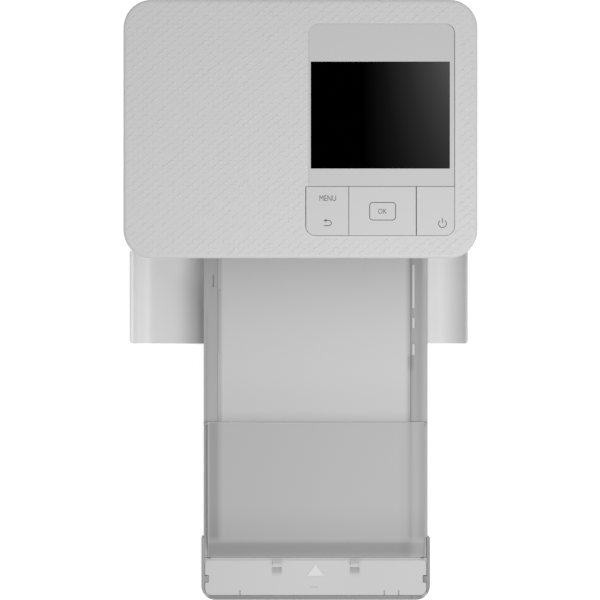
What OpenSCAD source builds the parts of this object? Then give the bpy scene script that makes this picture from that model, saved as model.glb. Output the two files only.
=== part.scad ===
// Compact photo printer with its paper cassette pushed in and its front door folded down.
// Millimetres, +Z up, origin at the middle of the footprint on the table, -Y towards the user.
// Inside the modules y is measured from the printer's front face, and place() moves it to the frame.

/* [Body] */
// Width of the printer body
body_w = 182.2; // [176:0.2:190]
// Depth of the printer body
body_d = 133; // [130:0.5:140]
// Height from the table to the textured top
body_h = 57.6; // [57:0.1:62]
// Corner radius of the body seen from above
corner_r = 14.5; // [10:0.5:18]
// Wall thickness of the case shells
wall = 2.2; // [1.8:0.1:2.6]
// Height of the rubber feet
foot_h = 1.6; // [1:0.1:2]
// Height of the line where the two case halves meet
split_z = 31; // [29:0.5:33]
// Rounding of the top edge
edge_r = 1.6; // [1:0.1:2]

/* [Front door] */
// Reach of the folded door in front of the body
door_reach = 44.4; // [42:0.2:46]
// Thickness of the door
door_t = 2.2; // [1.8:0.1:2.4]
// Left end of the door from the middle of the body
door_left = 89.7; // [87:0.1:90]
// Right end of the door from the middle of the body
door_right = 88.0; // [87:0.1:90]

/* [Cassette] */
// Width of the cassette tray
tray_w = 116.6; // [114:0.2:118]
// Width of the cassette's front head
head_w = 119; // [117:0.2:121]
// Reach of the cassette in front of the body
tray_out = 177.5; // [170:0.5:180]
// Depth of the cassette inside the body
tray_in = 32; // [31:0.5:33]
// Middle of the cassette from the middle of the body
tray_x = 7.9; // [6:0.1:9]
// Width of the well that holds the paper
well_w = 100.6; // [100.4:0.1:101]

/* [Control panel] */
// Left edge of the control panel
panel_x0 = 4.1; // [3.6:0.1:4.6]
// Right edge of the control panel
panel_x1 = 79.4; // [78:0.1:81]
// Front edge of the screen surround, where the keys begin
panel_y0 = 37; // [36.6:0.1:38]
// Rear edge of the screen surround
panel_y1 = 120.6; // [118:0.2:124]
// Width of the screen window
screen_w = 71.4; // [70:0.1:73]
// Depth of the screen window
screen_d = 54.6; // [53:0.1:56]
// Travel of a key
key_travel = 0.4; // [0.3:0.1:0.5]

/* [Print engine] */
// Height of the paper path
paper_z = 32; // [31.8:0.1:32.4]
// Radius of the platen roller
platen_r = 7; // [6:0.5:7.5]
// Radius of the capstan and of the pinch roller
capstan_r = 2.5; // [2:0.1:2.6]
// Gear module
gear_m = 0.8; // [0.8:0.1:0.8]

/* [Hidden] */
$fn = 48;
eps = 0.01;
gap = 0.25;

y_front = tray_out - (tray_out + body_d) / 2;
half_w = body_w / 2;
inner_w = half_w - wall;
floor_z = foot_h + wall;
roof_z = body_h - 2.5;
white = [0.86, 0.86, 0.85];
pale = [0.8, 0.8, 0.8];
smoke = [0.66, 0.66, 0.66];
steel = [0.7, 0.72, 0.74];
dark = [0.12, 0.12, 0.13];

// front opening and door
opening_y = 9;
opening_z = body_h - 3.7;
door_z = 0.8;
hinge_y = 4.2;
hinge_z = door_z + hinge_y;
hinge_knuckle_r = 1.8;
hinge_pin_r = 1;
run_gap = 0.05;
hinge_stations = [-72, 72];
knuckle_len = 6;

// ribbon door in the right wall
rdoor_y0 = 34;
rdoor_y1 = 108;
rdoor_top = 50;
rdoor_axis_x = half_w - 1.3;
rdoor_axis_z = 13.2;
rdoor_barrel_r = 1.3;
rdoor_pin_r = 0.7;

// keys
key_y0 = 11.5;
key_x0 = 2.5;
key_cuts = [24.8, 59.5];
key_gap = 0.2;
key_side_gap = 0.34;
key_rear_gap = 0.14;
key_base = roof_z - 0.65;
cut_gaps = [0.12, 0.2];
key_r = 5.2;
ok_x = 42.2;
ok_y = 24.2;
ok_w = 13.6;
ok_d = 9.3;
ok_gap = 0.28;
screen_x = 41.05;
screen_y = 73.7;

// paper path and rollers, as [y, z]
pickup_at = [24, 26];
pickup_r = 6;
capstan_at = [54, paper_z - capstan_r];
pinch_at = [54, paper_z + capstan_r + 0.15];
platen_at = [66, paper_z - platen_r];
takeup_at = [44, 44];
supply_at = [90, 40.9];
takeup_case_r = 7.6;
supply_case_r = 8.1;
plate_x0 = -56;
plate_x1 = 70;
plate_t = 1.2;
gear_x = plate_x0 - 5;
gear_w = 4;
shaft_r = 2;

// gear train
capstan_teeth = 30;
idler_teeth = 14;
pickup_teeth = 24;
pinion_teeth = 12;
takeup_teeth = 24;

// cassette
tray_z = 9;
tray_floor = 2;
tray_rim_z = 28;
tray_low_z = 21;
flange_t = 1.5;
tray_x0 = tray_x - tray_w / 2;
tray_x1 = tray_x + tray_w / 2;
well_x0 = -43.2;
well_x1 = well_x0 + well_w;
head_y = -145;
pocket_y = -155.7;
lid_crest_y = -147.6;
lid_axis = [-85.8, 28.9];
lid_z0 = 28.1;
lid_t = 1.6;
inner_axis = [-83.5, 26.4];
lid_side_gap = 0.06;
lid_pin_r = 0.9;
lid_edge_r = lid_t / 2;
small_pin_r = 0.45;

// Moves a node from the printer's own y to the frame.
module place() { translate([0, y_front, 0]) children(); }

// Box from its lowest to its highest corner.
module box(a, b) { translate(a) cube(b - a); }

// Flat rounded rectangle from a to b, with true arcs at its corners.
module rrect(a, b, r) {
  translate([a.x + r, a.y]) square([b.x - a.x - 2 * r, b.y - a.y]);
  translate([a.x, a.y + r]) square([b.x - a.x, b.y - a.y - 2 * r]);
  for (x = [a.x + r, b.x - r], y = [a.y + r, b.y - r]) translate([x, y]) circle(r);
}

// Rounded-rectangle prism from height z0 to z1.
module rblock(a, b, r, z0, z1) { translate([0, 0, z0]) linear_extrude(z1 - z0) rrect(a, b, r); }

// Outline of the body seen from above, pulled in by an inset.
module body_outline(inset = 0) {
  rrect([-half_w + inset, inset], [half_w - inset, body_d - inset], corner_r - inset);
}

// Cylinder along X from x0 to x1 with its axis at [y, z].
module rod_x(at, x0, x1, r) {
  translate([x0, at[0], at[1]]) rotate([0, 90, 0]) cylinder(h = x1 - x0, r = r);
}

// Cylinder along Y from y0 to y1 with its axis at [x, z].
module rod_y(at, y0, y1, r) {
  translate([at[0], y0, at[1]]) rotate([-90, 0, 0]) cylinder(h = y1 - y0, r = r);
}

// Pan-head screw whose head starts at z and whose shank runs up from it.
module screw_up(head_r, head_h, shank_r, shank_l) {
  difference() {
    cylinder(h = head_h, r = head_r);
    for (a = [0, 90]) rotate(a) box([-head_r * 0.55, -0.25, -eps], [head_r * 0.55, 0.25, head_h * 0.5]);
  }
  translate([0, 0, head_h - eps]) cylinder(h = shank_l, r = shank_r);
}

// ---------------------------------------------------------------- case

boss_points = [[-83.5, 27], [83.5, 27], [-84.2, 123], [84.2, 123]];
foot_points = [[-70, 22], [70, 22], [-74, 112], [74, 112]];

// Space that the folding front door closes, cut out of both case halves.
module front_opening() {
  box([-door_left - 0.4, -1, -1], [door_right + 0.4, opening_y, opening_z]);
}

// Window in the right wall for the ribbon door.
module ribbon_window() {
  box([half_w - wall - 1, rdoor_y0, rdoor_axis_z - rdoor_barrel_r - 0.3],
      [half_w + 1, rdoor_y1, rdoor_top]);
}

// Window in the rear wall for the rear cover.
module rear_window() { box([-74, body_d - wall - 1, 5], [74, body_d + 1, 52]); }

// Openings in the right wall for the memory card and the data socket.
module side_ports() {
  box([half_w - 4, 16.6, 14], [half_w + 1, 19.9, 40]);
  box([half_w - 4, 113.1, 12.6], [half_w + 1, 118.3, 25.4]);
}

// Two ears and a web that hold one front hinge pin.
module hinge_ears(x) {
  for (s = [-1, 1]) {
    x0 = x + s * (knuckle_len / 2 + gap) + (s < 0 ? -2.6 : 0);
    difference() {
      union() {
        rod_x([hinge_y, hinge_z], x0, x0 + 2.6, hinge_knuckle_r);
        box([x0, hinge_y, floor_z - 0.2], [x0 + 2.6, opening_y + 1, floor_z + 2.6]);
      }
      rod_x([hinge_y, hinge_z], x0 - 1, x0 + 4, hinge_pin_r + run_gap);
    }
  }
}

// Block behind the wall that takes one end of a ribbon door pin.
module rdoor_pin_block(y0, y1) {
  difference() {
    box([half_w - 5.2, y0, 8], [half_w - 0.4, y1, rdoor_axis_z + 3]);
    rod_y([rdoor_axis_x, rdoor_axis_z], y0 - 1, y1 + 1, rdoor_pin_r + run_gap);
  }
}

module bottom_case() {
  color(white) {
    difference() {
      translate([0, 0, foot_h]) linear_extrude(split_z - foot_h) body_outline();
      translate([0, 0, floor_z]) linear_extrude(split_z) body_outline(wall);
      front_opening();
      ribbon_window();
      rear_window();
      for (p = boss_points) translate([p.x, p.y, 0]) {
        cylinder(h = 10, r = 1.6);
        cylinder(h = foot_h + 1, r = 3.1);
      }
      for (i = [0:7]) box([-82, 56 + 5 * i, 0], [-62, 58 + 5 * i, 6]);
      side_ports();
      // fine groove just under the parting line
      translate([0, 0, split_z - 0.5]) linear_extrude(1) difference() {
        body_outline(-1);
        body_outline(0.4);
      }
      rdoor_pin_holes();
    }
    for (x = hinge_stations) hinge_ears(x);
    rdoor_pin_block(rdoor_y0 - 4, rdoor_y0 - 0.2);
    rdoor_pin_block(rdoor_y1 + 0.2, rdoor_y1 + 4);
  }
}

// Holes for the ribbon door pins where they pass the wall beside the window.
module rdoor_pin_holes() {
  rod_y([rdoor_axis_x, rdoor_axis_z], rdoor_y0 - 4, rdoor_y1 + 4, rdoor_pin_r + run_gap);
}

// Outline of the opening for the screen surround and the keys.
module panel_outline(grow = 0) {
  intersection() {
    rrect([panel_x0 - grow, panel_y0 - 12], [panel_x1 + grow, panel_y1 + grow], 5 + grow);
    translate([panel_x0 - 5, panel_y0]) square([100, 100]);
  }
  key_outline(grow);
}

// Outline of the row of keys, rounded only at its two front corners.
module key_outline(grow = 0) {
  intersection() {
    rrect([key_x0 - grow, key_y0 - grow], [panel_x1 + grow, panel_y0 + 20], key_r + grow);
    translate([key_x0 - 5, 0]) square([100, panel_y0]);
  }
}

// Solid of the upper case half with a rounded top edge.
module top_block() {
  round_z = body_h - edge_r;
  translate([0, 0, split_z]) linear_extrude(round_z - split_z) body_outline();
  translate([0, 0, split_z]) linear_extrude(body_h - split_z) body_outline(edge_r);
  for (y = [edge_r, body_d - edge_r]) rod_x([y, round_z], corner_r - half_w, half_w - corner_r, edge_r);
  for (x = [edge_r - half_w, half_w - edge_r]) rod_y([x, round_z], corner_r, body_d - corner_r, edge_r);
  for (x = [corner_r - half_w, half_w - corner_r], y = [corner_r, body_d - corner_r])
    translate([x, y, round_z]) rotate_extrude() translate([corner_r - edge_r, 0]) circle(edge_r);
}

module top_case() {
  color(white) {
    difference() {
      top_block();
      translate([0, 0, split_z - 1]) linear_extrude(roof_z - split_z + 1) body_outline(wall);
      front_opening();
      ribbon_window();
      rear_window();
      side_ports();
      translate([0, 0, roof_z - 1]) linear_extrude(5) panel_outline();
    }
    for (p = boss_points) translate([p.x, p.y, floor_z + 0.1]) difference() {
      cylinder(h = roof_z - floor_z, r = 2.8);
      translate([0, 0, -1]) cylinder(h = 12, r = 1.3);
    }
    for (x = [-0.6, 82.4]) translate([x, 18, 51.65]) cylinder(h = roof_z - 51.5, r = 1.6);
  }
}

module rear_cover() {
  color(white) difference() {
    union() {
      box([-73.8, body_d - wall - 0.1, 5.2], [73.8, body_d, 51.8]);
      box([-76, body_d - wall - 1.6, 4], [76, body_d - wall - 0.1, 53]);
    }
    box([-46.5, 100, 29], [62.5, body_d + 1, 35.5]);
    for (i = [0:8]) box([-73 + 2.8 * i, 100, 9], [-71.4 + 2.8 * i, body_d + 1, 35]);
    for (i = [0:11]) box([-18 + 5 * i, 100, 41], [-15.4 + 5 * i, body_d + 1, 48]);
    rod_y([62, 14], 100, body_d + 1, 4.4);
  }
}

// Inner front wall behind the folded door, with the slot for the cassette.
module front_fascia() {
  color(pale) difference() {
    union() {
      box([-inner_w + 1.5, opening_y + 1.2, floor_z + 0.1],
          [inner_w - 1.5, opening_y + 3, roof_z - 1.6]);
      box([tray_x0 - 3.6, opening_y + 3, floor_z + 0.1], [tray_x0 - 2.2, tray_in - 6, 22.5]);
      box([tray_x1 + 2.2, opening_y + 3, floor_z + 0.1], [tray_x1 + 3.6, tray_in - 6, 22.5]);
      box([tray_x0 - 2.2, opening_y + 3, 6.4], [tray_x1 + 2.2, tray_in - 6, 8.2]);
    }
    box([tray_x0 - 2.2, opening_y, 8.2], [tray_x1 + 2.2, opening_y + 4, 46]);
    box([tray_x0 - 5, opening_y, 34], [tray_x0 - 2, opening_y + 4, 46]);
    for (p = boss_points) translate([p.x, p.y, 0]) cylinder(h = 80, r = 3.8);
  }
}

module rubber_feet() {
  color(dark) for (p = foot_points) translate([p.x, p.y, 0]) difference() {
    cylinder(h = foot_h, r = 6);
    translate([0, 0, -1]) cylinder(h = 1.4, r = 3.4);
  }
}

module case_screws() {
  color(steel) for (p = boss_points) translate([p.x, p.y, foot_h + 0.1]) screw_up(2.7, 0.9, 1.25, 9);
}

// ---------------------------------------------------------------- control panel

module screen_surround() {
  color(pale) difference() {
    union() {
      translate([0, 0, roof_z]) linear_extrude(2.2) intersection() {
        rrect([panel_x0 + 0.05, panel_y0 - 12], [panel_x1 - 0.3, panel_y1 - 0.05], 4.9);
        translate([panel_x0, panel_y0 + 0.08]) square([100, 100]);
      }
      rblock([panel_x0 - 1.6, panel_y0 + 1.1], [panel_x1 + 1.2, panel_y1 + 1.6], 2,
        roof_z - 1.3, roof_z - 0.05);
      box([panel_x0 + 1, panel_y0 + 1.2, roof_z - 0.2], [panel_x1 - 1, panel_y1 - 5, roof_z + 0.2]);
    }
    box([screen_x - screen_w / 2, screen_y - screen_d / 2, roof_z + 0.6],
        [screen_x + screen_w / 2, screen_y + screen_d / 2, body_h + 1]);
    box([screen_x - screen_w / 2 + 2, screen_y - screen_d / 2 + 2, 50],
        [screen_x + screen_w / 2 - 2, screen_y + screen_d / 2 - 2, body_h]);
  }
}

module screen_window() {
  color([0.02, 0.02, 0.02])
    box([screen_x - screen_w / 2 + 0.1, screen_y - screen_d / 2 + 0.1, roof_z + 0.62],
        [screen_x + screen_w / 2 - 0.1, screen_y + screen_d / 2 - 0.1, body_h - 0.4]);
}

module display_module() {
  color([0.1, 0.1, 0.12]) difference() {
    box([screen_x - 37.5, screen_y - 29.5, 52.05], [screen_x + 37.5, screen_y + 29.5, roof_z - 1.35]);
    box([screen_x - 35, screen_y - 26, roof_z - 1.6], [screen_x + 35, screen_y + 26, roof_z]);
  }
}

switch_points = [
  [13.6, 31], [13.6, 17.5], [29, 24.4], [55, 24.4],
  [42.2, 33.4], [42.2, 14.8], [42.2, 24.2], [69.6, 17.5]
];

module key_board() {
  color([0.1, 0.36, 0.2]) union() {
    difference() {
      box([-3, 13, 50.2], [84.5, 35.6, 51.6]);
      translate([boss_points[1].x, boss_points[1].y, 50]) cylinder(h = 2, r = 3.2);
    }
    for (p = switch_points) {
      translate([p.x, p.y, 51.5]) cylinder(h = 1.7, r = 2.4);
      translate([p.x, p.y, 53]) cylinder(h = key_base - key_travel - 53.1, r = 1.2);
    }
  }
}

// Cap of a key between two cuts of the key row, with a retaining lip under the case.
module key_cap(x0, x1) {
  translate([0, 0, key_base]) linear_extrude(body_h - 0.25 - key_base) intersection() {
    key_outline(-key_gap);
    translate([x0, key_y0]) square([x1 - x0, panel_y0 - key_rear_gap - key_y0]);
  }
  box([max(x0, key_x0 + key_r), key_y0 - 0.7, key_base],
      [min(x1, panel_x1 - key_r), panel_y0 + 0.7, key_base + 0.5]);
}

module menu_key() { color(pale) key_cap(key_x0 + key_side_gap, key_cuts[0] - cut_gaps[0]); }

module navigation_key() {
  color(pale) difference() {
    key_cap(key_cuts[0] + cut_gaps[0], key_cuts[1] - cut_gaps[1]);
    rblock([ok_x - ok_w / 2, ok_y - ok_d / 2], [ok_x + ok_w / 2, ok_y + ok_d / 2], 1.8, 50, 60);
  }
}

module ok_key() {
  color(pale) rblock([ok_x - ok_w / 2 + ok_gap, ok_y - ok_d / 2 + ok_gap],
    [ok_x + ok_w / 2 - ok_gap, ok_y + ok_d / 2 - ok_gap], 1.5, key_base, body_h - 0.1);
}

module power_key() { color(pale) key_cap(key_cuts[1] + cut_gaps[1], panel_x1); }

// Lamp on the key board that lights the power key from below.
module power_lamp() {
  color([0.3, 0.8, 0.5]) translate([panel_x1 - 3, 18, 51.6]) union() {
    box([-1.2, -0.8, 0], [1.2, 0.8, 0.6]);
    translate([0, 0, 0.55]) cylinder(h = 0.9, r = 0.7);
  }
}

// ---------------------------------------------------------------- doors

// Front door as it stands when closed, before it is folded down.
module front_door_closed() {
  top = door_reach + hinge_y + hinge_z;
  intersection() {
    translate([0, 0, hinge_z - 0.4]) linear_extrude(top - hinge_z + 0.4) difference() {
      body_outline();
      body_outline(door_t);
    }
    translate([0, opening_y, 0]) rotate([90, 0, 0])
      linear_extrude(20) rrect([-door_left, hinge_z - 0.4], [door_right, top], 1.6);
  }
  for (x = hinge_stations) difference() {
    union() {
      rod_x([hinge_y, hinge_z], x - knuckle_len / 2, x + knuckle_len / 2, hinge_knuckle_r);
      box([x - knuckle_len / 2, door_t - 0.2, hinge_z - 0.3],
          [x + knuckle_len / 2, hinge_y, hinge_z + 1.8]);
    }
    rod_x([hinge_y, hinge_z], x - 5, x + 5, hinge_pin_r + 0.02);
  }
}

module front_door() {
  color(white) translate([0, hinge_y, hinge_z]) rotate([90, 0, 0])
    translate([0, -hinge_y, -hinge_z]) front_door_closed();
}

module front_door_pins() {
  color(steel) for (x = hinge_stations)
    rod_x([hinge_y, hinge_z], x - knuckle_len / 2 - 2.8, x + knuckle_len / 2 + 2.8, hinge_pin_r);
}

module ribbon_door() {
  y0 = rdoor_y0 + 0.3;
  y1 = rdoor_y1 - 0.3;
  color(white) difference() {
    union() {
      rod_y([rdoor_axis_x, rdoor_axis_z], y0, y1, rdoor_barrel_r);
      box([half_w - wall, y0, rdoor_axis_z], [half_w, y1, rdoor_top - 0.3]);
      for (z = [rdoor_axis_z + 8, rdoor_top - 6])
        box([half_w - wall - 1.2, y0 + 6, z], [half_w - wall + 0.1, y1 - 6, z + 1.2]);
    }
    for (y = [y0 - 1, y1 - 5]) rod_y([rdoor_axis_x, rdoor_axis_z], y, y + 6, rdoor_pin_r + 0.02);
    box([half_w - 0.7, (y0 + y1) / 2 - 9, rdoor_top - 4],
        [half_w + 1, (y0 + y1) / 2 + 9, rdoor_top - 2.6]);
  }
}

module ribbon_door_pins() {
  color(steel) for (y = [rdoor_y0 - 3.6, rdoor_y1 - 4.8])
    rod_y([rdoor_axis_x, rdoor_axis_z], y, y + 8.4, rdoor_pin_r);
}

lever_at = [100, 20];

module eject_lever() {
  x = plate_x1 + plate_t + 0.3;
  y = lever_at[0];
  color([0.2, 0.45, 0.7]) difference() {
    union() {
      rod_x(lever_at, x, x + 2, 4);
      box([x, y - 3, lever_at[1]], [x + 2, y + 3, 46]);
      box([x + 1.7, y - 3, 42], [x + 5.7, y + 3, 46]);
    }
    rod_x(lever_at, plate_x1, plate_x1 + 6, shaft_r + run_gap);
  }
}

// ---------------------------------------------------------------- chassis

head_pivot = [106, 46];
plate_y0 = 18;
plate_y1 = 112;
foot_tabs = [40, 96];

// Steel side plate with the shaft holes that both sides share.
module side_plate(x) {
  difference() {
    box([x, plate_y0, floor_z + 0.05], [x + plate_t, plate_y1, 51]);
    for (at = [pickup_at, capstan_at, pinch_at, platen_at, head_pivot])
      rod_x(at, x - 1, x + 3, shaft_r + run_gap);
    box([x - 1, 70, 8], [x + 3, 92, 15]);
    box([x - 1, plate_y0 - 1, 49.8], [x + 3, 37, 52]);
  }
}

// Foot tab bent out of a side plate, with its screw hole.
module foot_tab(x0, y) {
  difference() {
    box([x0, y - 5, floor_z + 0.05], [x0 + 9, y + 5, floor_z + 1.25]);
    translate([x0 + 4.5, y, 0]) cylinder(h = 10, r = 1.4);
  }
}

module left_side_plate() {
  color(steel) {
    difference() {
      side_plate(plate_x0);
      rod_x(takeup_at, plate_x0 - 1, plate_x0 + 3, shaft_r + run_gap);
      rod_x(idler_at, plate_x0 - 1, plate_x0 + 3, 1.5);
    }
    for (y = foot_tabs) foot_tab(plate_x0 - 9, y);
  }
}

module right_side_plate() {
  color(steel) {
    difference() {
      side_plate(plate_x1);
      rod_x(takeup_at, plate_x1 - 1, plate_x1 + 3, takeup_case_r + 0.8);
      rod_x(supply_at, plate_x1 - 1, plate_x1 + 3, supply_case_r + 0.8);
      box([plate_x1 - 1, takeup_at[0], 35.5], [plate_x1 + 3, supply_at[0], 47]);
    }
    for (y = foot_tabs) foot_tab(plate_x1 + plate_t, y);
    rod_x(lever_at, plate_x1 + plate_t, plate_x1 + plate_t + 3, shaft_r);
  }
}

module cross_members() {
  color(steel) {
    rod_x(head_pivot, plate_x0 - 0.8, plate_x1 + plate_t + 0.8, shaft_r);
    box([plate_x0 + plate_t, plate_y1 - 8, 8], [plate_x1, plate_y1 - 6.8, 26]);
    box([plate_x0 + plate_t, 58, 12], [plate_x1, 74, 13.2]);
  }
}

module chassis_screws() {
  color(steel) for (x = [plate_x0 - 4.5, plate_x1 + plate_t + 4.5], y = foot_tabs)
    translate([x, y, floor_z + 2.15]) mirror([0, 0, 1])
      screw_up(2.4, 0.9, 1.3, 1.2);
}

// ---------------------------------------------------------------- rollers

module platen_roller() {
  color(dark) union() {
    rod_x(platen_at, plate_x0 - 0.8, plate_x1 + plate_t + 0.8, shaft_r);
    rod_x(platen_at, -45, 59, platen_r);
  }
}

module capstan_roller() {
  color(steel) union() {
    rod_x(capstan_at, gear_x - 0.6, plate_x1 + plate_t + 0.8, shaft_r);
    rod_x(capstan_at, -46, 60, capstan_r);
  }
}

module pinch_roller() {
  color(steel) union() {
    rod_x(pinch_at, plate_x0 - 0.8, plate_x1 + plate_t + 0.8, shaft_r);
    rod_x(pinch_at, -46, 60, capstan_r);
  }
}

module pickup_roller() {
  color(dark) union() {
    rod_x(pickup_at, gear_x - 0.6, plate_x1 + plate_t + 0.8, shaft_r);
    for (s = [-1, 1]) rod_x(pickup_at, tray_x + 18 * s - 6, tray_x + 18 * s + 6, pickup_r);
  }
}

// ---------------------------------------------------------------- gears

pressure = 20;
backlash = 0.14;

// Pitch radius of a gear.
function pitch_r(teeth) = gear_m * teeth / 2;

// Involute of an angle, in degrees.
function involute(a) = tan(a) * 180 / PI - a;

// Half of a tooth's angle at radius r.
function half_tooth(teeth, r) =
  let (rp = pitch_r(teeth), rb = rp * cos(pressure))
  90 / teeth - backlash / rp * 45 / PI + involute(pressure) - (r > rb ? involute(acos(rb / r)) : 0);

// One corner of a tooth's outline, in polar form.
function polar(r, a) = [r * cos(a), r * sin(a)];

// Outline of a whole gear, with the middle of its first tooth at angle phase.
function gear_points(teeth, phase) =
  let (
    rp = pitch_r(teeth), root = rp - 1.2 * gear_m, tip = rp + 0.95 * gear_m,
    base = max(root + 0.05, rp * cos(pressure)), rise = [for (k = [0:3]) base + (tip - base) * k / 3]
  )
  [for (i = [0:teeth - 1]) let (a = phase + i * 360 / teeth) each concat(
    [polar(root, a - half_tooth(teeth, base))],
    [for (r = rise) polar(r, a - half_tooth(teeth, r))],
    [for (k = [3:-1:0]) polar(rise[k], a + half_tooth(teeth, rise[k]))],
    [polar(root, a + half_tooth(teeth, base))]
  )];

// Phase of a gear that meshes with another along direction dir.
function mesh_phase(phase, teeth, other, dir) = dir + 180 + ((dir - phase) * teeth - 180) / other;

// Direction and distance from one [y, z] centre to another.
function bearing(a, b) = atan2(b[1] - a[1], b[0] - a[0]);

// Centre at distance ra from a and rb from b, on the right of the way from a to b.
function third_centre(a, b, ra, rb) =
  let (d = norm(b - a), along = (ra * ra - rb * rb + d * d) / (2 * d), u = (b - a) / d)
  a + u * along + [u[1], -u[0]] * sqrt(ra * ra - along * along);

idler_at = third_centre(pickup_at, capstan_at,
  pitch_r(pickup_teeth) + pitch_r(idler_teeth), pitch_r(capstan_teeth) + pitch_r(idler_teeth));
feed_dir = -60;
feed_at = capstan_at + polar(pitch_r(capstan_teeth) + pitch_r(pinion_teeth), feed_dir);
ribbon_at = takeup_at + [pitch_r(takeup_teeth) + pitch_r(pinion_teeth), 0];
ribbon_gear_x = gear_x - 5.4;
idler_phase = mesh_phase(0, capstan_teeth, idler_teeth, bearing(capstan_at, idler_at));

// Spur gear in the Y-Z plane with its face at x.
module spur_gear(x, at, teeth, phase, bore) {
  difference() {
    translate([x, at[0], at[1]]) rotate([90, 0, 90])
      linear_extrude(gear_w) polygon(gear_points(teeth, phase));
    rod_x(at, x - 1, x + gear_w + 1, bore);
    if (teeth > 20) translate([x + gear_w - 1.2, at[0], at[1]]) rotate([90, 0, 90])
      linear_extrude(2) difference() {
        circle(pitch_r(teeth) - 2.6);
        circle(3.6);
      }
  }
}

module capstan_gear() { color(pale) spur_gear(gear_x, capstan_at, capstan_teeth, 0, shaft_r + 0.02); }

module idler_gear() {
  color(pale) spur_gear(gear_x, idler_at, idler_teeth, idler_phase, 1.5 + run_gap);
}

module idler_post() {
  color(steel) {
    rod_x(idler_at, gear_x - 0.4, plate_x0 + plate_t, 1.48);
    rod_x(idler_at, gear_x - 1.2, gear_x - 0.4, 2.6);
  }
}

module pickup_gear() {
  color(pale) spur_gear(gear_x, pickup_at, pickup_teeth,
    mesh_phase(idler_phase, idler_teeth, pickup_teeth, bearing(idler_at, pickup_at)), shaft_r + 0.02);
}

module feed_pinion() {
  color("gold") union() {
    spur_gear(gear_x, feed_at, pinion_teeth,
      mesh_phase(0, capstan_teeth, pinion_teeth, feed_dir), 1.02);
    rod_x(feed_at, gear_x - 4.2, gear_x + gear_w, 1.1);
  }
}

// Direct-current motor whose face is at x, with a boss and two terminals.
module motor(x, at, r, l) {
  difference() {
    union() {
      rod_x(at, x - l, x, r);
      rod_x(at, x - l - 1.5, x - l + 1, r * 0.35);
    }
    rod_x(at, x - 4, x + 1, 1.1 + run_gap);
  }
  for (y = [at[0] - r * 0.6, at[0] + r * 0.6])
    box([x - l - 2, y - 0.8, at[1] - 0.3], [x - l + 0.5, y + 0.8, at[1] + 0.3]);
}

module feed_motor() { color(steel) motor(gear_x - 0.6, feed_at, 9.6, 22); }

module ribbon_pinion() {
  color("gold") union() {
    spur_gear(ribbon_gear_x, ribbon_at, pinion_teeth,
      mesh_phase(0, takeup_teeth, pinion_teeth, 0), 1.02);
    rod_x(ribbon_at, ribbon_gear_x - 4.2, ribbon_gear_x + gear_w, 1.1);
  }
}

module ribbon_motor() { color(steel) motor(ribbon_gear_x - 0.6, ribbon_at, 8.4, 17); }

module takeup_gear() {
  color(pale) union() {
    spur_gear(ribbon_gear_x, takeup_at, takeup_teeth, 0, shaft_r - 0.1);
    rod_x(takeup_at, ribbon_gear_x, -42, shaft_r);
  }
}

// ---------------------------------------------------------------- print head and ribbon

arm_z = 49.3;
head_x0 = -42;
head_x1 = 58;

module head_arm() {
  color(steel) {
    box([head_x0, 60, arm_z], [head_x1, head_pivot[0] - 3, arm_z + 1.2]);
    box([head_x0, 100.6, 43], [head_x1, 101.8, arm_z + 0.1]);
    for (x = [head_x0, head_x1 - 8]) difference() {
      union() {
        rod_x(head_pivot, x, x + 8, 3.6);
        box([x, 101, 43], [x + 8, head_pivot[0], 49.4]);
      }
      rod_x(head_pivot, x - 1, x + 9, shaft_r + run_gap);
    }
  }
}

module print_head() {
  color([0.2, 0.36, 0.28]) {
    box([head_x0, 61.4, paper_z + 0.9], [head_x1, 72, paper_z + 2.5]);
    box([head_x0, 62.6, paper_z + 0.45], [head_x1, 69, paper_z + 1]);
    box([6, 71, paper_z + 1.1], [22, 73.6, paper_z + 2.4]);
  }
}

module heat_sink() {
  color(steel) {
    box([head_x0, 60, paper_z + 2.5], [head_x1, 74.6, paper_z + 5]);
    for (i = [0:5])
      box([head_x0 + 4, 60 + 2.6 * i, paper_z + 4.9], [head_x1 - 4, 61 + 2.6 * i, arm_z - 2]);
    for (x = [head_x0, head_x1 - 3.8]) box([x, 60, paper_z + 4.9], [x + 3.8, 74, arm_z]);
  }
}

// Torsion spring wound around the head pivot, with one leg over the arm.
module torsion_spring(x) {
  for (i = [0:4]) translate([x + 0.5 + 0.82 * i, head_pivot[0], head_pivot[1]]) rotate([0, 90, 0])
    rotate_extrude() translate([2.9, 0]) circle(0.42, $fn = 16);
  rod_y([x + 0.7, arm_z + 1.55], 92, 104, 0.35);
}

module head_springs() {
  color(steel) {
    torsion_spring(head_x0 - 6);
    torsion_spring(head_x1 + 1);
  }
}

// Ribbon tube: a thin half-open pipe along X around [y, z], open from angle a0 to a1.
module ribbon_tube(at, r, a0, a1) {
  translate([-46, at[0], at[1]]) rotate([90, 0, 90]) linear_extrude(108) difference() {
    circle(r);
    circle(r - 1.2);
    polygon(concat([[0, 0]], [for (k = [0:4]) polar(2 * r, a0 + (a1 - a0) * k / 4)]));
  }
}

// End plate of the ribbon cassette between the two tubes, with the bores for the spools.
module ribbon_end(x) {
  difference() {
    union() {
      rod_x(takeup_at, x, x + 1.4, takeup_case_r);
      rod_x(supply_at, x, x + 1.4, supply_case_r);
      box([x, takeup_at[0], 39], [x + 1.4, supply_at[0], 47.5]);
    }
    rod_x(takeup_at, x - 1, x + 3, shaft_r + 0.1);
    rod_x(supply_at, x - 1, x + 3, shaft_r + 0.1);
  }
}

module ribbon_case() {
  color([0.3, 0.32, 0.36]) {
    ribbon_tube(takeup_at, takeup_case_r, -42, 4);
    ribbon_tube(supply_at, supply_case_r, 200, 246);
    for (x = [-46, 60.6]) ribbon_end(x);
    box([61.8, 56, 41], [66, 78, 45.5]);
  }
}

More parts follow.
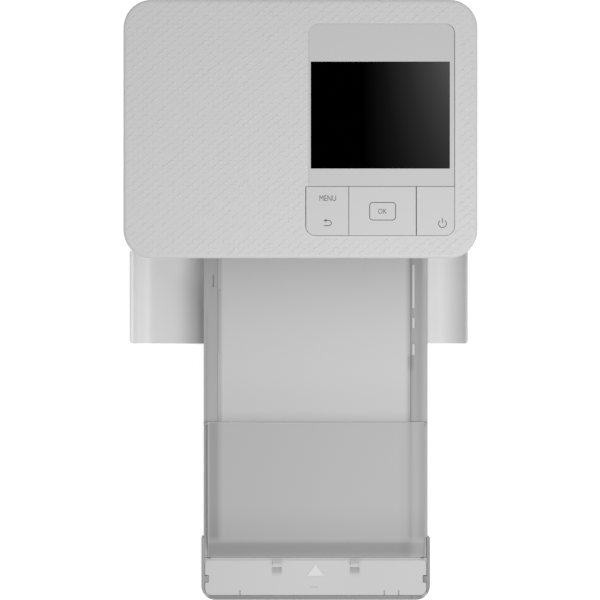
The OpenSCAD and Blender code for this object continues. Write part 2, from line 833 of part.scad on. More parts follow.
// Spool with end journals and a wound film of radius r.
module spool(at, r, x0) {
  rod_x(at, x0, 62.4, shaft_r);
  rod_x(at, -44.2, 60.2, 3.4);
  rod_x(at, -41, 57, r);
}

module supply_spool() { color([0.75, 0.45, 0.2]) spool(supply_at, 6.3, -46.4); }

module takeup_spool() {
  color([0.3, 0.3, 0.55]) difference() {
    spool(takeup_at, 5.2, -44);
    rod_x(takeup_at, -45, -41.9, shaft_r + 0.02);
  }
}

// Film from the supply tube, under the head and up to the take-up tube, as [y, z] points.
film = [[83.6, 36.2], [74.4, 32.25], [60.6, 32.25], [51, 42.2]];

module ink_ribbon() {
  upper = [for (i = [3:-1:0]) film[i] + [i == 3 ? 0.16 : 0, 0.12]];
  color([0.5, 0.42, 0.12]) rotate([90, 0, 90]) translate([0, 0, head_x0])
    linear_extrude(head_x1 - head_x0) polygon(concat([for (p = film) p - [0, 0.06]], upper));
}

// ---------------------------------------------------------------- boards, ports and fan

module main_board() {
  color([0.12, 0.36, 0.22]) {
    difference() {
      box([-50, 36, 6.2], [64, 102, 7.8]);
      for (x = [-46, 60], y = [40, 98]) translate([x, y, 0]) cylinder(h = 20, r = 1.5);
    }
    box([-8, 52, 7.7], [8, 68, 9.6]);
    box([20, 54, 7.7], [31, 62, 9]);
    box([-34, 58, 7.7], [-22, 66, 9.2]);
    for (x = [-36, -25, -14]) translate([x, 88, 7.7]) cylinder(h = 9, r = 3.6);
    for (x = [4, 18]) rblock([x, 84], [x + 11, 95], 2, 7.7, 12);
    for (x = [40, 52]) box([x, 42, 7.7], [x + 9, 46, 12]);
    for (x = [-46, 60], y = [40, 98]) translate([x, y, 0]) difference() {
      translate([0, 0, floor_z + 0.05]) cylinder(h = 2.2, r = 3);
      cylinder(h = 20, r = 1.5);
    }
  }
}

// Open-fronted socket shell on the right wall, with a tongue inside.
module wall_socket(x0, y0, y1, z0, z1, t) {
  difference() {
    box([x0, y0, z0], [inner_w - 0.1, y1, z1]);
    box([x0 + t, y0 + t, z0 + t], [half_w, y1 - t, z1 - t]);
  }
}

module card_slot() {
  color(steel) {
    wall_socket(72.8, 15.8, 20.7, 13.2, 40.8, 0.8);
    box([73, 17.2, 15], [77, 17.9, 39]);
  }
}

module usb_port() {
  color(steel) {
    wall_socket(75, 112.6, 118.8, 12.1, 25.9, 0.5);
    box([75.2, 116, 13.4], [87, 117.6, 24.6]);
  }
}

module power_jack() {
  color(dark) difference() {
    box([57, 119, 9], [67, body_d - wall - 1.7, 19]);
    rod_y([62, 14], 121, body_d + 1, 2.75);
  }
  color(steel) rod_y([62, 14], 120, 129, 0.85);
}

fan_at = [-62, 22];

module fan_housing() {
  color(dark) {
    difference() {
      box([fan_at[0] - 14, 114, fan_at[1] - 14], [fan_at[0] + 14, 124, fan_at[1] + 14]);
      rod_y(fan_at, 113, 125, 12.8);
      for (sx = [-1, 1], sz = [-1, 1]) rod_y([fan_at[0] + 12 * sx, fan_at[1] + 12 * sz], 113, 125, 1.1);
    }
    for (a = [45, 165, 285]) translate([fan_at[0], 114, fan_at[1]]) rotate([-90, 0, 0]) rotate(a)
      box([3, -0.8, 0], [13.2, 0.8, 1.4]);
    rod_y(fan_at, 114, 115.4, 5);
    rod_y(fan_at, 115, 120, 1);
    for (x = [fan_at[0] - 10, fan_at[0] + 10])
      box([x - 1.6, 115, floor_z + 0.05], [x + 1.6, 123, fan_at[1] - 13.9]);
  }
}

module fan_rotor() {
  color(smoke) difference() {
    union() {
      rod_y(fan_at, 116, 123.4, 5.4);
      for (i = [0:6]) translate([fan_at[0], 119.7, fan_at[1]]) rotate([0, 360 * i / 7, 0])
        rotate([38, 0, 0]) box([4.8, -4.2, -0.45], [11.8, 4.2, 0.45]);
    }
    rod_y(fan_at, 115, 120.4, 1 + run_gap);
  }
}

// ---------------------------------------------------------------- cassette

head_x = [tray_x - head_w / 2, tray_x + head_w / 2];
ring_t = 1.7;
ring_front = 2.2;
ring_r = 7.3;
ring_in_r = 3.5;
ring_z = 29.5;
plate_z = 27.9;
hook_x = 20.25;
hook_y = -160.3;
lid_x0 = tray_x0 + 2;
lid_x1 = tray_x1 - 1.9;
lid_posts = [[tray_x0 + 0.3, lid_x0 - 0.1], [lid_x1 + 0.1, tray_x1 - 0.3]];
inner_t = 1.4;
lift_at = [-138, 12];
lift_x = [-40.2, 54.4];

// Inside of the cassette's head, seen from above, pulled in by an inset.
module head_inside(y1, inset = 0) {
  edge = ring_t + inset;
  rrect([head_x[0] + edge, ring_front + inset - tray_out], [head_x[1] - edge, y1], ring_in_r - inset);
}

module cassette_tray() {
  color(smoke) {
    difference() {
      union() {
        box([tray_x0, head_y - 1, tray_z], [tray_x1, tray_in, tray_low_z]);
        rblock([tray_x0, head_y - 4], [tray_x1, 2], 1.5, tray_low_z - 1, tray_rim_z);
        rblock([head_x[0], -tray_out], [head_x[1], head_y + 7.5], ring_r, tray_z, ring_z);
      }
      box([head_x[0] - 1, head_y, tray_z - 1], [tray_x0, head_y + 8, ring_z + 1]);
      box([tray_x1, head_y, tray_z - 1], [head_x[1] + 1, head_y + 8, ring_z + 1]);
      box([head_x[0] - 1, head_y, tray_rim_z], [head_x[1] + 1, head_y + 8, ring_z + 1]);
      box([well_x0, head_y + 2, tray_z + tray_floor], [well_x1, tray_in - 1.8, 40]);
      for (x = [[tray_x0 + 1.8, well_x0 - 1.4], [well_x1 + 1.4, tray_x1 - 1.8]])
        box([x[0], head_y + 2, tray_z + tray_floor], [x[1], tray_in - 1.8, tray_rim_z - flange_t]);
      translate([0, 0, tray_z + tray_floor]) linear_extrude(40) head_inside(pocket_y - 1.6);
      translate([0, 0, plate_z]) linear_extrude(10) head_inside(pocket_y);
      box([lid_x0 - 0.12, pocket_y, 24.2], [lid_x1 + 0.12, head_y, 40]);
      box([head_x[0] + ring_t, pocket_y, tray_rim_z], [head_x[1] - ring_t, head_y, 40]);
      box([-45.8, -14.5, 27.1], [-45.1, -8.4, 40]);
      rod_x(inner_axis, well_x0 - 3, well_x1 + 3, lid_pin_r + run_gap);
      rod_x(lift_at, well_x0 - 3, well_x1 + 3, lid_pin_r + run_gap);
    }
    for (x = lid_posts) difference() {
      union() {
        rod_x(lid_axis, x[0], x[1], lid_edge_r);
        box([x[0], lid_axis[0] - lid_edge_r, tray_rim_z - 0.1],
            [x[1], lid_axis[0] + lid_edge_r, lid_axis[1]]);
      }
      rod_x(lid_axis, x[0] - 1, x[1] + 1, small_pin_r + run_gap);
    }
    box([well_x0 - 0.1, -87.9, 24.2], [well_x1 + 0.1, inner_axis[0] - 2.1, tray_rim_z - 0.1]);
    for (y = [[-25.6, -3], [-36, -30.6], [-50, -44.4]])
      box([well_x1 + 0.7, y[0], tray_rim_z - 0.1], [well_x1 + 2, y[1], tray_rim_z + 0.5]);
    for (x = [head_x[0] + ring_t - 0.1, head_x[1] - ring_t - 1.9])
      box([x, -168.2, 11], [x + 2, -164.9, ring_z]);
    for (x = [-30, 46], y = [-172, -158]) box([x - 1, y - 1, 10.9], [x + 1, y + 1, plate_z]);
  }
}

module cassette_front_plate() {
  color(pale) {
    difference() {
      translate([0, 0, plate_z]) linear_extrude(1.2) head_inside(pocket_y + 0.15, 0.15);
      for (x = [head_x[0] + ring_t - 1, head_x[1] - ring_t - 2])
        box([x, -168.4, 20], [x + 3, -164.7, 40]);
      for (x = [-31.6, 43.5, 51]) box([x - 0.3, -176, 28.3], [x + 0.3, -172.6, 40]);
      for (s = [-1, 1]) translate([tray_x + s * hook_x - 2.3, hook_y, plate_z]) rotate([90, 0, 90])
        linear_extrude(4.6) polygon([[0, 0.3], [-3.6, 1.3], [0, 1.3]]);
      // low bevel along the rear edge
      translate([head_x[0], pocket_y, plate_z]) rotate([90, 0, 90])
        linear_extrude(head_w) polygon([[-1.4, 1.21], [0.5, 0.5], [0.5, 1.4]]);
    }
    for (s = [-1, 1]) translate([tray_x + s * hook_x - 2.25, hook_y, plate_z]) rotate([90, 0, 90])
      linear_extrude(4.5) polygon([[0, 0.5], [3.4, 0.5], [4.4, 0.8], [1.6, 2.1], [0, 1]]);
    translate([tray_x, -165, plate_z + 1.1]) linear_extrude(0.3)
      polygon([[-4.5, 0], [4.2, 0], [-0.1, 6.1]]);
    box([tray_x - 2.6, -171, plate_z + 1.1], [tray_x + 0.9, -170.6, plate_z + 1.4]);
  }
}

module outer_lid() {
  color([0.7, 0.7, 0.7]) difference() {
    union() {
      translate([lid_x0, 0, 0]) rotate([90, 0, 90]) linear_extrude(lid_x1 - lid_x0) polygon([
        [lid_axis[0], lid_z0], [lid_axis[0], lid_z0 + lid_t], [lid_crest_y, lid_z0 + lid_t],
        [pocket_y + 2.6, 28.2], [pocket_y + 0.3, 28], [pocket_y + 0.4, 26.8],
        [lid_crest_y + 0.4, lid_z0]
      ]);
      rod_x(lid_axis, lid_x0, lid_x1, lid_edge_r);
    }
    for (x = [lid_x0 - 1, lid_x1 - 3]) rod_x(lid_axis, x, x + 4, small_pin_r + 0.02);
  }
}

module outer_lid_pins() {
  color(steel) {
    rod_x(lid_axis, lid_posts[0][0] + 0.1, lid_x0 + 2.9, small_pin_r);
    rod_x(lid_axis, lid_x1 - 2.9, lid_posts[1][1] - 0.1, small_pin_r);
  }
}

module inner_lid() {
  x0 = well_x0 + lid_side_gap;
  x1 = well_x1 - lid_side_gap;
  color([0.76, 0.76, 0.76]) difference() {
    union() {
      rod_x(inner_axis, x0, x1, inner_t);
      box([x0, inner_axis[0] - inner_t, inner_axis[1]], [x1, inner_axis[0], inner_axis[1] + inner_t]);
      box([x0, inner_axis[0], inner_axis[1] - 0.2], [x1, 1.2, inner_axis[1] + inner_t]);
      box([x0 + 0.6, -49, inner_axis[1] + inner_t - 0.1],
          [x0 + 1.5, -16, inner_axis[1] + inner_t + 0.2]);
    }
    for (x = [x0 - 1, x1 - 3]) rod_x(inner_axis, x, x + 4, lid_pin_r + 0.02);
  }
}

module inner_lid_pins() {
  color(steel) {
    rod_x(inner_axis, well_x0 - 1.3, well_x0 + 3, lid_pin_r);
    rod_x(inner_axis, well_x1 - 3, well_x1 + 1.3, lid_pin_r);
  }
}

module lift_plate() {
  color(steel) {
    difference() {
      box([lift_x[0], lift_at[0], 11.5], [lift_x[1], tray_in - 2.2, 12.3]);
      for (x = [lift_x[0] + 14, lift_x[1] - 26]) rblock([x, -90], [x + 12, -20], 4, 5, 20);
    }
    rod_x(lift_at, well_x0 - 1.2, well_x1 + 1.2, lid_pin_r);
  }
}

module edge_guides() {
  color(smoke) {
    box([well_x0 + 0.1, -136, tray_z + tray_floor], [well_x0 + 2.4, -4, 23.4]);
    box([well_x1 - 2.4, -136, tray_z + tray_floor], [well_x1 - 0.1, -4, 23.4]);
  }
}

// ---------------------------------------------------------------- whole object

place() bottom_case();
place() top_case();
place() rear_cover();
place() front_fascia();
place() rubber_feet();
place() case_screws();
place() screen_surround();
place() screen_window();
place() display_module();
place() key_board();
place() menu_key();
place() navigation_key();
place() ok_key();
place() power_key();
place() power_lamp();
place() front_door();
place() front_door_pins();
place() ribbon_door();
place() ribbon_door_pins();
place() eject_lever();
place() left_side_plate();
place() right_side_plate();
place() cross_members();
place() chassis_screws();
place() platen_roller();
place() capstan_roller();
place() pinch_roller();
place() pickup_roller();
place() capstan_gear();
place() pickup_gear();
place() idler_gear();
place() idler_post();
place() feed_pinion();
place() feed_motor();
place() ribbon_pinion();
place() ribbon_motor();
place() takeup_gear();
place() head_arm();
place() print_head();
place() heat_sink();
place() head_springs();
place() ribbon_case();
place() supply_spool();
place() takeup_spool();
place() ink_ribbon();
place() main_board();
place() card_slot();
place() usb_port();
place() power_jack();
place() fan_housing();
place() fan_rotor();
place() cassette_tray();
place() cassette_front_plate();
place() outer_lid();
place() outer_lid_pins();
place() inner_lid();
place() inner_lid_pins();
place() lift_plate();
place() edge_guides();
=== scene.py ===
# %% [markdown]
# # A compact photo printer, seen from straight above
# The CAD model already has every part at its true size, so this script only dresses it: it gives each
# part a finish, adds the fine things that CAD leaves out (the raised weave of the lid, the contacts in
# the sockets, the printed legends, the seal around the screen, a few pale marks), and sets up the light
# and the camera.
# Every cell can be run in order in Blender's text editor; most of them print what they made.

# %% Load the frame
import math

import bpy
from mathutils import Matrix, Vector


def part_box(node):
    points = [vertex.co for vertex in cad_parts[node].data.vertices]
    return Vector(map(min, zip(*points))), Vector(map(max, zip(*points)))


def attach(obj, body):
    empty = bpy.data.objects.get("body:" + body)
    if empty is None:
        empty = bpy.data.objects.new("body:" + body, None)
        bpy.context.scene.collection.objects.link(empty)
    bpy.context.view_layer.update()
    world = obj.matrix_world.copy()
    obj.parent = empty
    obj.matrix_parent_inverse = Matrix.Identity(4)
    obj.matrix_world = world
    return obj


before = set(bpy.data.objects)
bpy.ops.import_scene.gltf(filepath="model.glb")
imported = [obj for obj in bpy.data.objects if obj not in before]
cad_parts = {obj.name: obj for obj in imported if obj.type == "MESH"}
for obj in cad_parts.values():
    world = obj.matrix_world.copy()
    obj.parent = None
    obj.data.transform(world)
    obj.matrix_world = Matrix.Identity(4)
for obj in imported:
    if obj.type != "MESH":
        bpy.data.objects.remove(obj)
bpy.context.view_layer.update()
MM = 0.001

# %% [markdown]
# ## Places on the object
# The printer's front face is the zero of most sizes on a drawing of it, so `at` turns a drawing place
# in millimetres into a place in the scene. Reading the face from the CAD box keeps the two together.

# %% Places
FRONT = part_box("top_case")[0].y
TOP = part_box("top_case")[1].z


def at(x, y, z=0.0):
    """A drawing place in millimetres (y from the printer's front face) as a scene place in metres."""
    return Vector((x * MM, FRONT + y * MM, z * MM))


print(f"front face at y = {FRONT * 1000:.1f} mm, top at z = {TOP * 1000:.1f} mm")

# %% [markdown]
# ## Tones
# Plastics like these are judged by how light they look, on the scale of 0 to 255 that a paint program
# shows. Shaders want linear light instead, so `tone` does the sum once and every finish uses it.

# %% Tones


def tone(level, warm=0.0):
    """Linear RGBA of a grey of this level (0 to 255), a touch warmer for warm above 0."""
    value = level / 255
    linear = value / 12.92 if value <= 0.04045 else ((value + 0.055) / 1.055) ** 2.4
    return (linear * (1 + warm), linear, linear * (1 - warm), 1.0)


print("tone(195) is linear", round(tone(195)[0], 3))

# %% [markdown]
# ## Shader building blocks
# A moulded plastic is never one flat colour: its mould was spark-eroded, which leaves a fine grain, and
# the colour drifts slightly over the part. Both are made once, as a node group, and each finish sets
# how coarse and how strong they are. Object coordinates hold the pattern still on the part.

# %% Helpers for shader groups


def shader_group(name, inputs, outputs):
    """Empty shader node group with named float or vector inputs and outputs."""
    group = bpy.data.node_groups.new(name, "ShaderNodeTree")
    for label, kind, value in inputs:
        socket = group.interface.new_socket(label, in_out="INPUT", socket_type=kind)
        if value is not None:
            socket.default_value = value
    for label, kind in outputs:
        group.interface.new_socket(label, in_out="OUTPUT", socket_type=kind)
    return group, group.nodes.new("NodeGroupInput"), group.nodes.new("NodeGroupOutput")


def noise(nodes, links, vector, scale, detail):
    """Noise texture node reading a vector socket, with its scale from a socket or a number."""
    node = nodes.new("ShaderNodeTexNoise")
    node.inputs["Detail"].default_value = detail
    if isinstance(scale, bpy.types.NodeSocket):
        links.new(scale, node.inputs["Scale"])
    else:
        node.inputs["Scale"].default_value = scale
    links.new(vector, node.inputs["Vector"])
    return node


def calc(nodes, links, operation, *terms):
    """Output of a Math node whose terms are sockets or plain numbers."""
    node = nodes.new("ShaderNodeMath")
    node.operation = operation
    for i, term in enumerate(terms):
        if isinstance(term, bpy.types.NodeSocket):
            links.new(term, node.inputs[i])
        else:
            node.inputs[i].default_value = term
    return node.outputs[0]


FLOAT, VECTOR, COLOUR = "NodeSocketFloat", "NodeSocketVector", "NodeSocketColor"

# %% Group: moulded grain
# The fine noise is a height for the bump, and the broad one makes the colour drift.
DRIFT_SCALE = 14.0
grain, g_in, g_out = shader_group(
    "moulded grain",
    [("Place", VECTOR, None), ("Colour", COLOUR, (0.5, 0.5, 0.5, 1)), ("Grain size", FLOAT, 1500.0),
     ("Drift", FLOAT, 0.03)],
    [("Colour", COLOUR), ("Height", FLOAT)],
)
n, l = grain.nodes, grain.links
fine = noise(n, l, g_in.outputs["Place"], g_in.outputs["Grain size"], detail=3.0)
broad = noise(n, l, g_in.outputs["Place"], DRIFT_SCALE, detail=1.0)
spread = calc(n, l, "SUBTRACT", broad.outputs["Fac"], 0.5)
gain = calc(n, l, "MULTIPLY_ADD", spread, g_in.outputs["Drift"], 1.0)
scaled = n.new("ShaderNodeVectorMath")
scaled.operation = "SCALE"
l.new(g_in.outputs["Colour"], scaled.inputs[0])
l.new(gain, scaled.inputs["Scale"])
l.new(scaled.outputs[0], g_out.inputs["Colour"])
l.new(fine.outputs["Fac"], g_out.inputs["Height"])
print("group:", grain.name)

# %% Group: soft band
# 1 between two places on an axis and 0 outside them, with an edge that rises as smoothly as wanted. The
# frosted parts use it where the walls below show through as a blur.
soft_band, s_in, s_out = shader_group(
    "soft band",
    [("Value", FLOAT, 0.0), ("Low", FLOAT, -1.0), ("High", FLOAT, 1.0), ("Low blur", FLOAT, 0.001),
     ("High blur", FLOAT, 0.001)],
    [("Band", FLOAT)],
)
n, l = soft_band.nodes, soft_band.links
ends = []
for edge, blur, rising in (("Low", "Low blur", True), ("High", "High blur", False)):
    rise = n.new("ShaderNodeMapRange")
    rise.interpolation_type = "SMOOTHERSTEP"
    l.new(s_in.outputs["Value"], rise.inputs["Value"])
    for side, operation in (("From Min", "SUBTRACT"), ("From Max", "ADD")):
        l.new(calc(n, l, operation, s_in.outputs[edge], s_in.outputs[blur]), rise.inputs[side])
    rise.inputs["To Min"].default_value = 0.0 if rising else 1.0
    rise.inputs["To Max"].default_value = 1.0 if rising else 0.0
    ends.append(rise.outputs["Result"])
l.new(calc(n, l, "MULTIPLY", *ends), s_out.inputs["Band"])
print("group:", soft_band.name)

# %% Group: drawn metal
# Sheet and turned steel carry fine lines along the way they were rolled or turned.
LINE_ROUGHNESS = 0.25
drawn, d_in, d_out = shader_group(
    "drawn metal",
    [("Place", VECTOR, None), ("Stretch", VECTOR, (20.0, 900.0, 900.0)), ("Polish", FLOAT, 0.3)],
    [("Roughness", FLOAT), ("Height", FLOAT)],
)
n, l = drawn.nodes, drawn.links
stretch = n.new("ShaderNodeVectorMath")
stretch.operation = "MULTIPLY"
l.new(d_in.outputs["Place"], stretch.inputs[0])
l.new(d_in.outputs["Stretch"], stretch.inputs[1])
lines = noise(n, l, stretch.outputs[0], 1.0, detail=3.0)
rough = calc(n, l, "MULTIPLY_ADD", lines.outputs["Fac"], LINE_ROUGHNESS, d_in.outputs["Polish"])
l.new(rough, d_out.inputs["Roughness"])
l.new(lines.outputs["Fac"], d_out.inputs["Height"])
print("group:", drawn.name)

# %% [markdown]
# ## Finishes
# One function makes a plastic from its tone, gloss and grain, and another makes a metal. The shader
# itself stays in the material, and only colours, roughness and heights come out of the groups.

# %% Material makers
BEVEL_SAMPLES = 6


def blank_material(name):
    """Material with a Principled shader and an Object coordinate, both ready to link."""
    material = bpy.data.materials.new(name)
    material.use_nodes = True
    nodes, links = material.node_tree.nodes, material.node_tree.links
    shader = nodes["Principled BSDF"]
    place = nodes.new("ShaderNodeTexCoord").outputs["Object"]
    return material, nodes, links, shader, place


def use_group(nodes, group, **values):
    """Places a node group and sets its unlinked inputs by name (spaces written as _)."""
    node = nodes.new("ShaderNodeGroup")
    node.node_tree = group
    for key, value in values.items():
        node.inputs[key.replace("_", " ")].default_value = value
    return node


def bump(nodes, links, shader, height, depth, edge=0.0):
    """Bump of a real depth in metres, with edges that look rounded to a radius (0 for sharp edges)."""
    node = nodes.new("ShaderNodeBump")
    node.inputs["Strength"].default_value = 1.0
    node.inputs["Distance"].default_value = depth
    links.new(height, node.inputs["Height"])
    links.new(node.outputs["Normal"], shader.inputs["Normal"])
    if edge:
        soft = nodes.new("ShaderNodeBevel")
        soft.samples = BEVEL_SAMPLES
        soft.inputs["Radius"].default_value = edge
        links.new(soft.outputs["Normal"], node.inputs["Normal"])


def plastic(name, colour, roughness=0.5, grain_size=1500.0, grain_depth=0.00001, drift=0.03, edge=0.0):
    """Moulded plastic, with edges that look rounded to a radius."""
    material, nodes, links, shader, place = blank_material(name)
    body = use_group(nodes, grain, Colour=colour, Grain_size=grain_size, Drift=drift)
    links.new(place, body.inputs["Place"])
    links.new(body.outputs["Colour"], shader.inputs["Base Color"])
    shader.inputs["Roughness"].default_value = roughness
    bump(nodes, links, shader, body.outputs["Height"], grain_depth, edge)
    return material


def metal(name, colour, polish=0.28, stretch=(20.0, 900.0, 900.0), depth=0.000004):
    """Rolled or turned metal with fine lines."""
    material, nodes, links, shader, place = blank_material(name)
    surface = use_group(nodes, drawn, Stretch=stretch, Polish=polish)
    links.new(place, surface.inputs["Place"])
    shader.inputs["Base Color"].default_value = colour
    shader.inputs["Metallic"].default_value = 1.0
    links.new(surface.outputs["Roughness"], shader.inputs["Roughness"])
    bump(nodes, links, shader, surface.outputs["Height"], depth)
    return material


def dress(material, *names):
    """Gives CAD nodes a material in place of the plain one they came with."""
    for name in names:
        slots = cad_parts[name].data.materials
        slots.clear()
        slots.append(material)


# %% Plain finishes
# After the name and the colour come the roughness, how fine the grain is, how deep it is in metres, how
# much the colour drifts, and the radius of the edges in metres.
case_white = plastic("case white", tone(201), 0.52, 2200, 0.000012, 0.02)
surround_white = plastic("surround white", tone(193), 0.42, 2600, 0.000004, 0.015)
key_white = plastic("key white", tone(197), 0.4, 2600, 0.000004, 0.015, 0.00035)
fascia_grey = plastic("fascia grey", tone(170), 0.5)
black_plastic = plastic("black plastic", tone(34), 0.45)
foot_rubber = plastic("foot rubber", tone(38), 0.85, 900, 0.00003)
roller_rubber = plastic("roller rubber", tone(44), 0.8, 1800, 0.00002)
gear_acetal = plastic("gear acetal", tone(214, 0.02), 0.35, 1800, 0.000003)
lever_blue = plastic("lever blue", (0.03, 0.13, 0.33, 1), 0.4)
cartridge_grey = plastic("cartridge grey", tone(96), 0.5)
film_gloss = plastic("ribbon film", (0.07, 0.05, 0.02, 1), 0.16, 2600, 0.000002)
board_black = plastic("board black", tone(20), 0.4, 700, 0.00001)
mark_pale = plastic("pale mark", tone(192), 0.45, 1900, 0.000003, 0.01)
mark_bright = plastic("bright mark", tone(205), 0.45, 1900, 0.000003, 0.01)
lamp_clear = plastic("lamp clear", tone(150), 0.15, 2600, 0.000002)
ink_grey = plastic("legend ink", tone(88), 0.6, 3000, 0.000003)
print("materials so far:", len(bpy.data.materials))

# %% Metal finishes
# After the name and the colour come the lowest roughness and how far the lines are squeezed along X, Y
# and Z: the smallest number is the way they run.
steel_sheet = metal("sheet steel", (0.56, 0.57, 0.58, 1), 0.3, (900.0, 20.0, 900.0))
steel_turned = metal("turned steel", (0.62, 0.62, 0.63, 1), 0.18, (2000.0, 60.0, 60.0))
steel_spring = metal("spring steel", (0.32, 0.32, 0.33, 1), 0.3)
sink_aluminium = metal("sink aluminium", (0.7, 0.71, 0.72, 1), 0.3)
brass_turned = metal("turned brass", (0.68, 0.5, 0.22, 1), 0.2)
contact_gold = metal("contact gold", (0.8, 0.6, 0.25, 1), 0.18)
print("metals ready")

# %% [markdown]
# ## The screen
# The screen is one sheet of black gloss over the display, with the power off. Its colour fades slowly
# from black to charcoal towards the upper right corner: a painted reflection, standing in for the soft
# reflection that the glass shows there. One ramp along each edge of the sheet gives the fade.

# %% Screen glass
FADE_START = 0.375
LOWER_EDGE_SHARE = 0.55
BRIGHTEST = 80
screen_low, screen_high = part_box("screen_window")
screen_black, nodes, links, shader, place = blank_material("screen black")
axes = nodes.new("ShaderNodeSeparateXYZ")
links.new(place, axes.inputs[0])
size = screen_high - screen_low
across = nodes.new("ShaderNodeMapRange")
across.inputs["From Min"].default_value = screen_low.x + FADE_START * size.x
across.inputs["From Max"].default_value = screen_high.x
links.new(axes.outputs["X"], across.inputs["Value"])
up = nodes.new("ShaderNodeMapRange")
up.inputs["From Min"].default_value = screen_low.y
up.inputs["From Max"].default_value = screen_high.y
up.inputs["To Min"].default_value = LOWER_EDGE_SHARE
links.new(axes.outputs["Y"], up.inputs["Value"])
# The ramp's colour is a painted reflection, charcoal towards the upper right corner.
painted_reflection = nodes.new("ShaderNodeValToRGB")
painted_reflection.color_ramp.elements[0].color = tone(0)
painted_reflection.color_ramp.elements[1].color = tone(BRIGHTEST)
for stop in (0.25, 0.5, 0.75):
    painted_reflection.color_ramp.elements.new(stop).color = tone(BRIGHTEST * stop)
links.new(calc(nodes, links, "MULTIPLY", across.outputs["Result"], up.outputs["Result"]),
          painted_reflection.inputs["Fac"])
links.new(painted_reflection.outputs["Color"], shader.inputs["Base Color"])
shader.inputs["Roughness"].default_value = 0.05
shader.inputs["Specular IOR Level"].default_value = 0.3
print("screen is", [round(v * 1000, 1) for v in size], "mm")

# %% [markdown]
# ## The frosted cassette
# The cassette is pale plastic that lets a little light through. Nothing is sharp through it, but where a
# wall or a dark hollow lies close below, it looks a shade darker with a blurred edge. The solids are
# opaque, so each of its materials paints this: it adds up a few soft patches of painted shade, which
# also deepen some shadows. A patch is a share of painted shade between places along X, Y or Z, or along
# two or three of them at once, and a negative share paints a highlight instead.

# %% Frosted material
FROST_EDGE = 0.3 * MM
FROST_ROUGHNESS = 0.5
FROST_GRAIN = {"Grain_size": 1700.0, "Drift": 0.05}
FROST_GRAIN_DEPTH = 0.006 * MM


def along(axis, low, high, blur=1.0, high_blur=None):
    """Span of a patch: drawing places in millimetres along an axis, and how blurred its two ends are."""
    ends = [getattr(at(v, v, v), axis.lower()) for v in (low, high)]
    return axis, (*ends, blur * MM, (blur if high_blur is None else high_blur) * MM)


def patch_sum(nodes, links, place, patches):
    """Adds up soft patches, each a share of shade and one or more spans."""
    axes = nodes.new("ShaderNodeSeparateXYZ")
    links.new(place, axes.inputs[0])
    total = 0.0
    for share, *spans in patches:
        patch = share
        for axis, (low, high, low_blur, high_blur) in spans:
            band = use_group(nodes, soft_band, Low=low, High=high, Low_blur=low_blur,
                             High_blur=high_blur)
            links.new(axes.outputs[axis], band.inputs["Value"])
            patch = calc(nodes, links, "MULTIPLY", band.outputs[0], patch)
        total = calc(nodes, links, "ADD", total, patch)
    return total


def frosted(name, base_tone, shade_tone, patches, edge=FROST_EDGE):
    """Frosted plastic with painted shade in soft patches, and a painted highlight where a share is
    negative.
    """
    material, nodes, links, shader, place = blank_material(name)
    mix = nodes.new("ShaderNodeMix")
    mix.data_type = "RGBA"
    mix.clamp_factor = False
    mix.inputs["A"].default_value = base_tone
    mix.inputs["B"].default_value = shade_tone
    links.new(patch_sum(nodes, links, place, patches), mix.inputs["Factor"])
    body = use_group(nodes, grain, **FROST_GRAIN)
    links.new(place, body.inputs["Place"])
    links.new(mix.outputs["Result"], body.inputs["Colour"])
    links.new(body.outputs["Colour"], shader.inputs["Base Color"])
    shader.inputs["Roughness"].default_value = FROST_ROUGHNESS
    bump(nodes, links, shader, body.outputs["Height"], FROST_GRAIN_DEPTH, edge)
    return material


# %% [markdown]
# The patches are in drawing places: X to the right, and Y from the printer's front face, negative
# towards the user. The cassette's well lies between x = -43.2 and 57.4 mm, so most patches follow its
# two walls. `FAR` stands for no end on that side. The outer lid has the shade of the walls, which stops
# where its front edge slopes down, and pale lines where its edges catch the light.

# %% Frosted lids
FAR = 300
OUTER_FLAT = along("Y", -146, FAR, 2.5)
OUTER_SLOPE = along("Y", -155.9, -147.4, 2.2, 2.4)
# Painted shade of the walls below, darker towards the front and on the slope, with painted highlights
# along the left, front and rear edges.
outer_lid_painted_shade = frosted("frosted outer lid with painted shade", tone(169), tone(133), [
    (0.3, along("X", -FAR, -41.2, 1.2), OUTER_FLAT),
    (0.42, along("X", -47.3, -43.0, 1.2), OUTER_FLAT),
    (0.12, along("X", 52.5, 57.5, 3)),
    (0.36, along("X", 56.0, 57.8, 1.4), OUTER_FLAT),
    (0.22, along("X", 57.0, FAR, 1), OUTER_FLAT),
    (0.3, along("X", 61.8, FAR, 1.6), OUTER_FLAT),
    (0.26, along("Y", -FAR, -136, 12)),
    (0.2, along("X", -48.5, FAR, 1), OUTER_SLOPE),
    (0.34, along("X", -48.5, 58, 1, 3.4), OUTER_SLOPE),
    (-0.6, along("X", -FAR, -48, 0.25)),
    (-0.55, along("Y", -FAR, -154.9, 0.4)),
    (-1.6, along("Y", -85.5, -84, 0.25)),
])
CORNER_SHADE = along("Y", -58, -50.3, 4, 0.6)
# Painted shade along both walls, towards both ends and in a corner by the right wall, and a painted
# highlight along the front edge.
inner_lid_painted_shade = frosted("frosted inner lid with painted shade", tone(190), tone(141), [
    (0.4, along("X", -FAR, -41.0, 0.7)),
    (0.7, along("X", 55.8, FAR, 2.1)),
    (0.09, along("Y", -26, FAR, 22)),
    (0.12, along("Y", -FAR, -66, 14)),
    (0.2, along("Y", -FAR, -81, 4)),
    (-1.2, along("Y", -86, -84.6, 0.3)),
    (0.3, along("X", 55.6, FAR, 1.0), CORNER_SHADE),
])
print("frosted lids: 2")
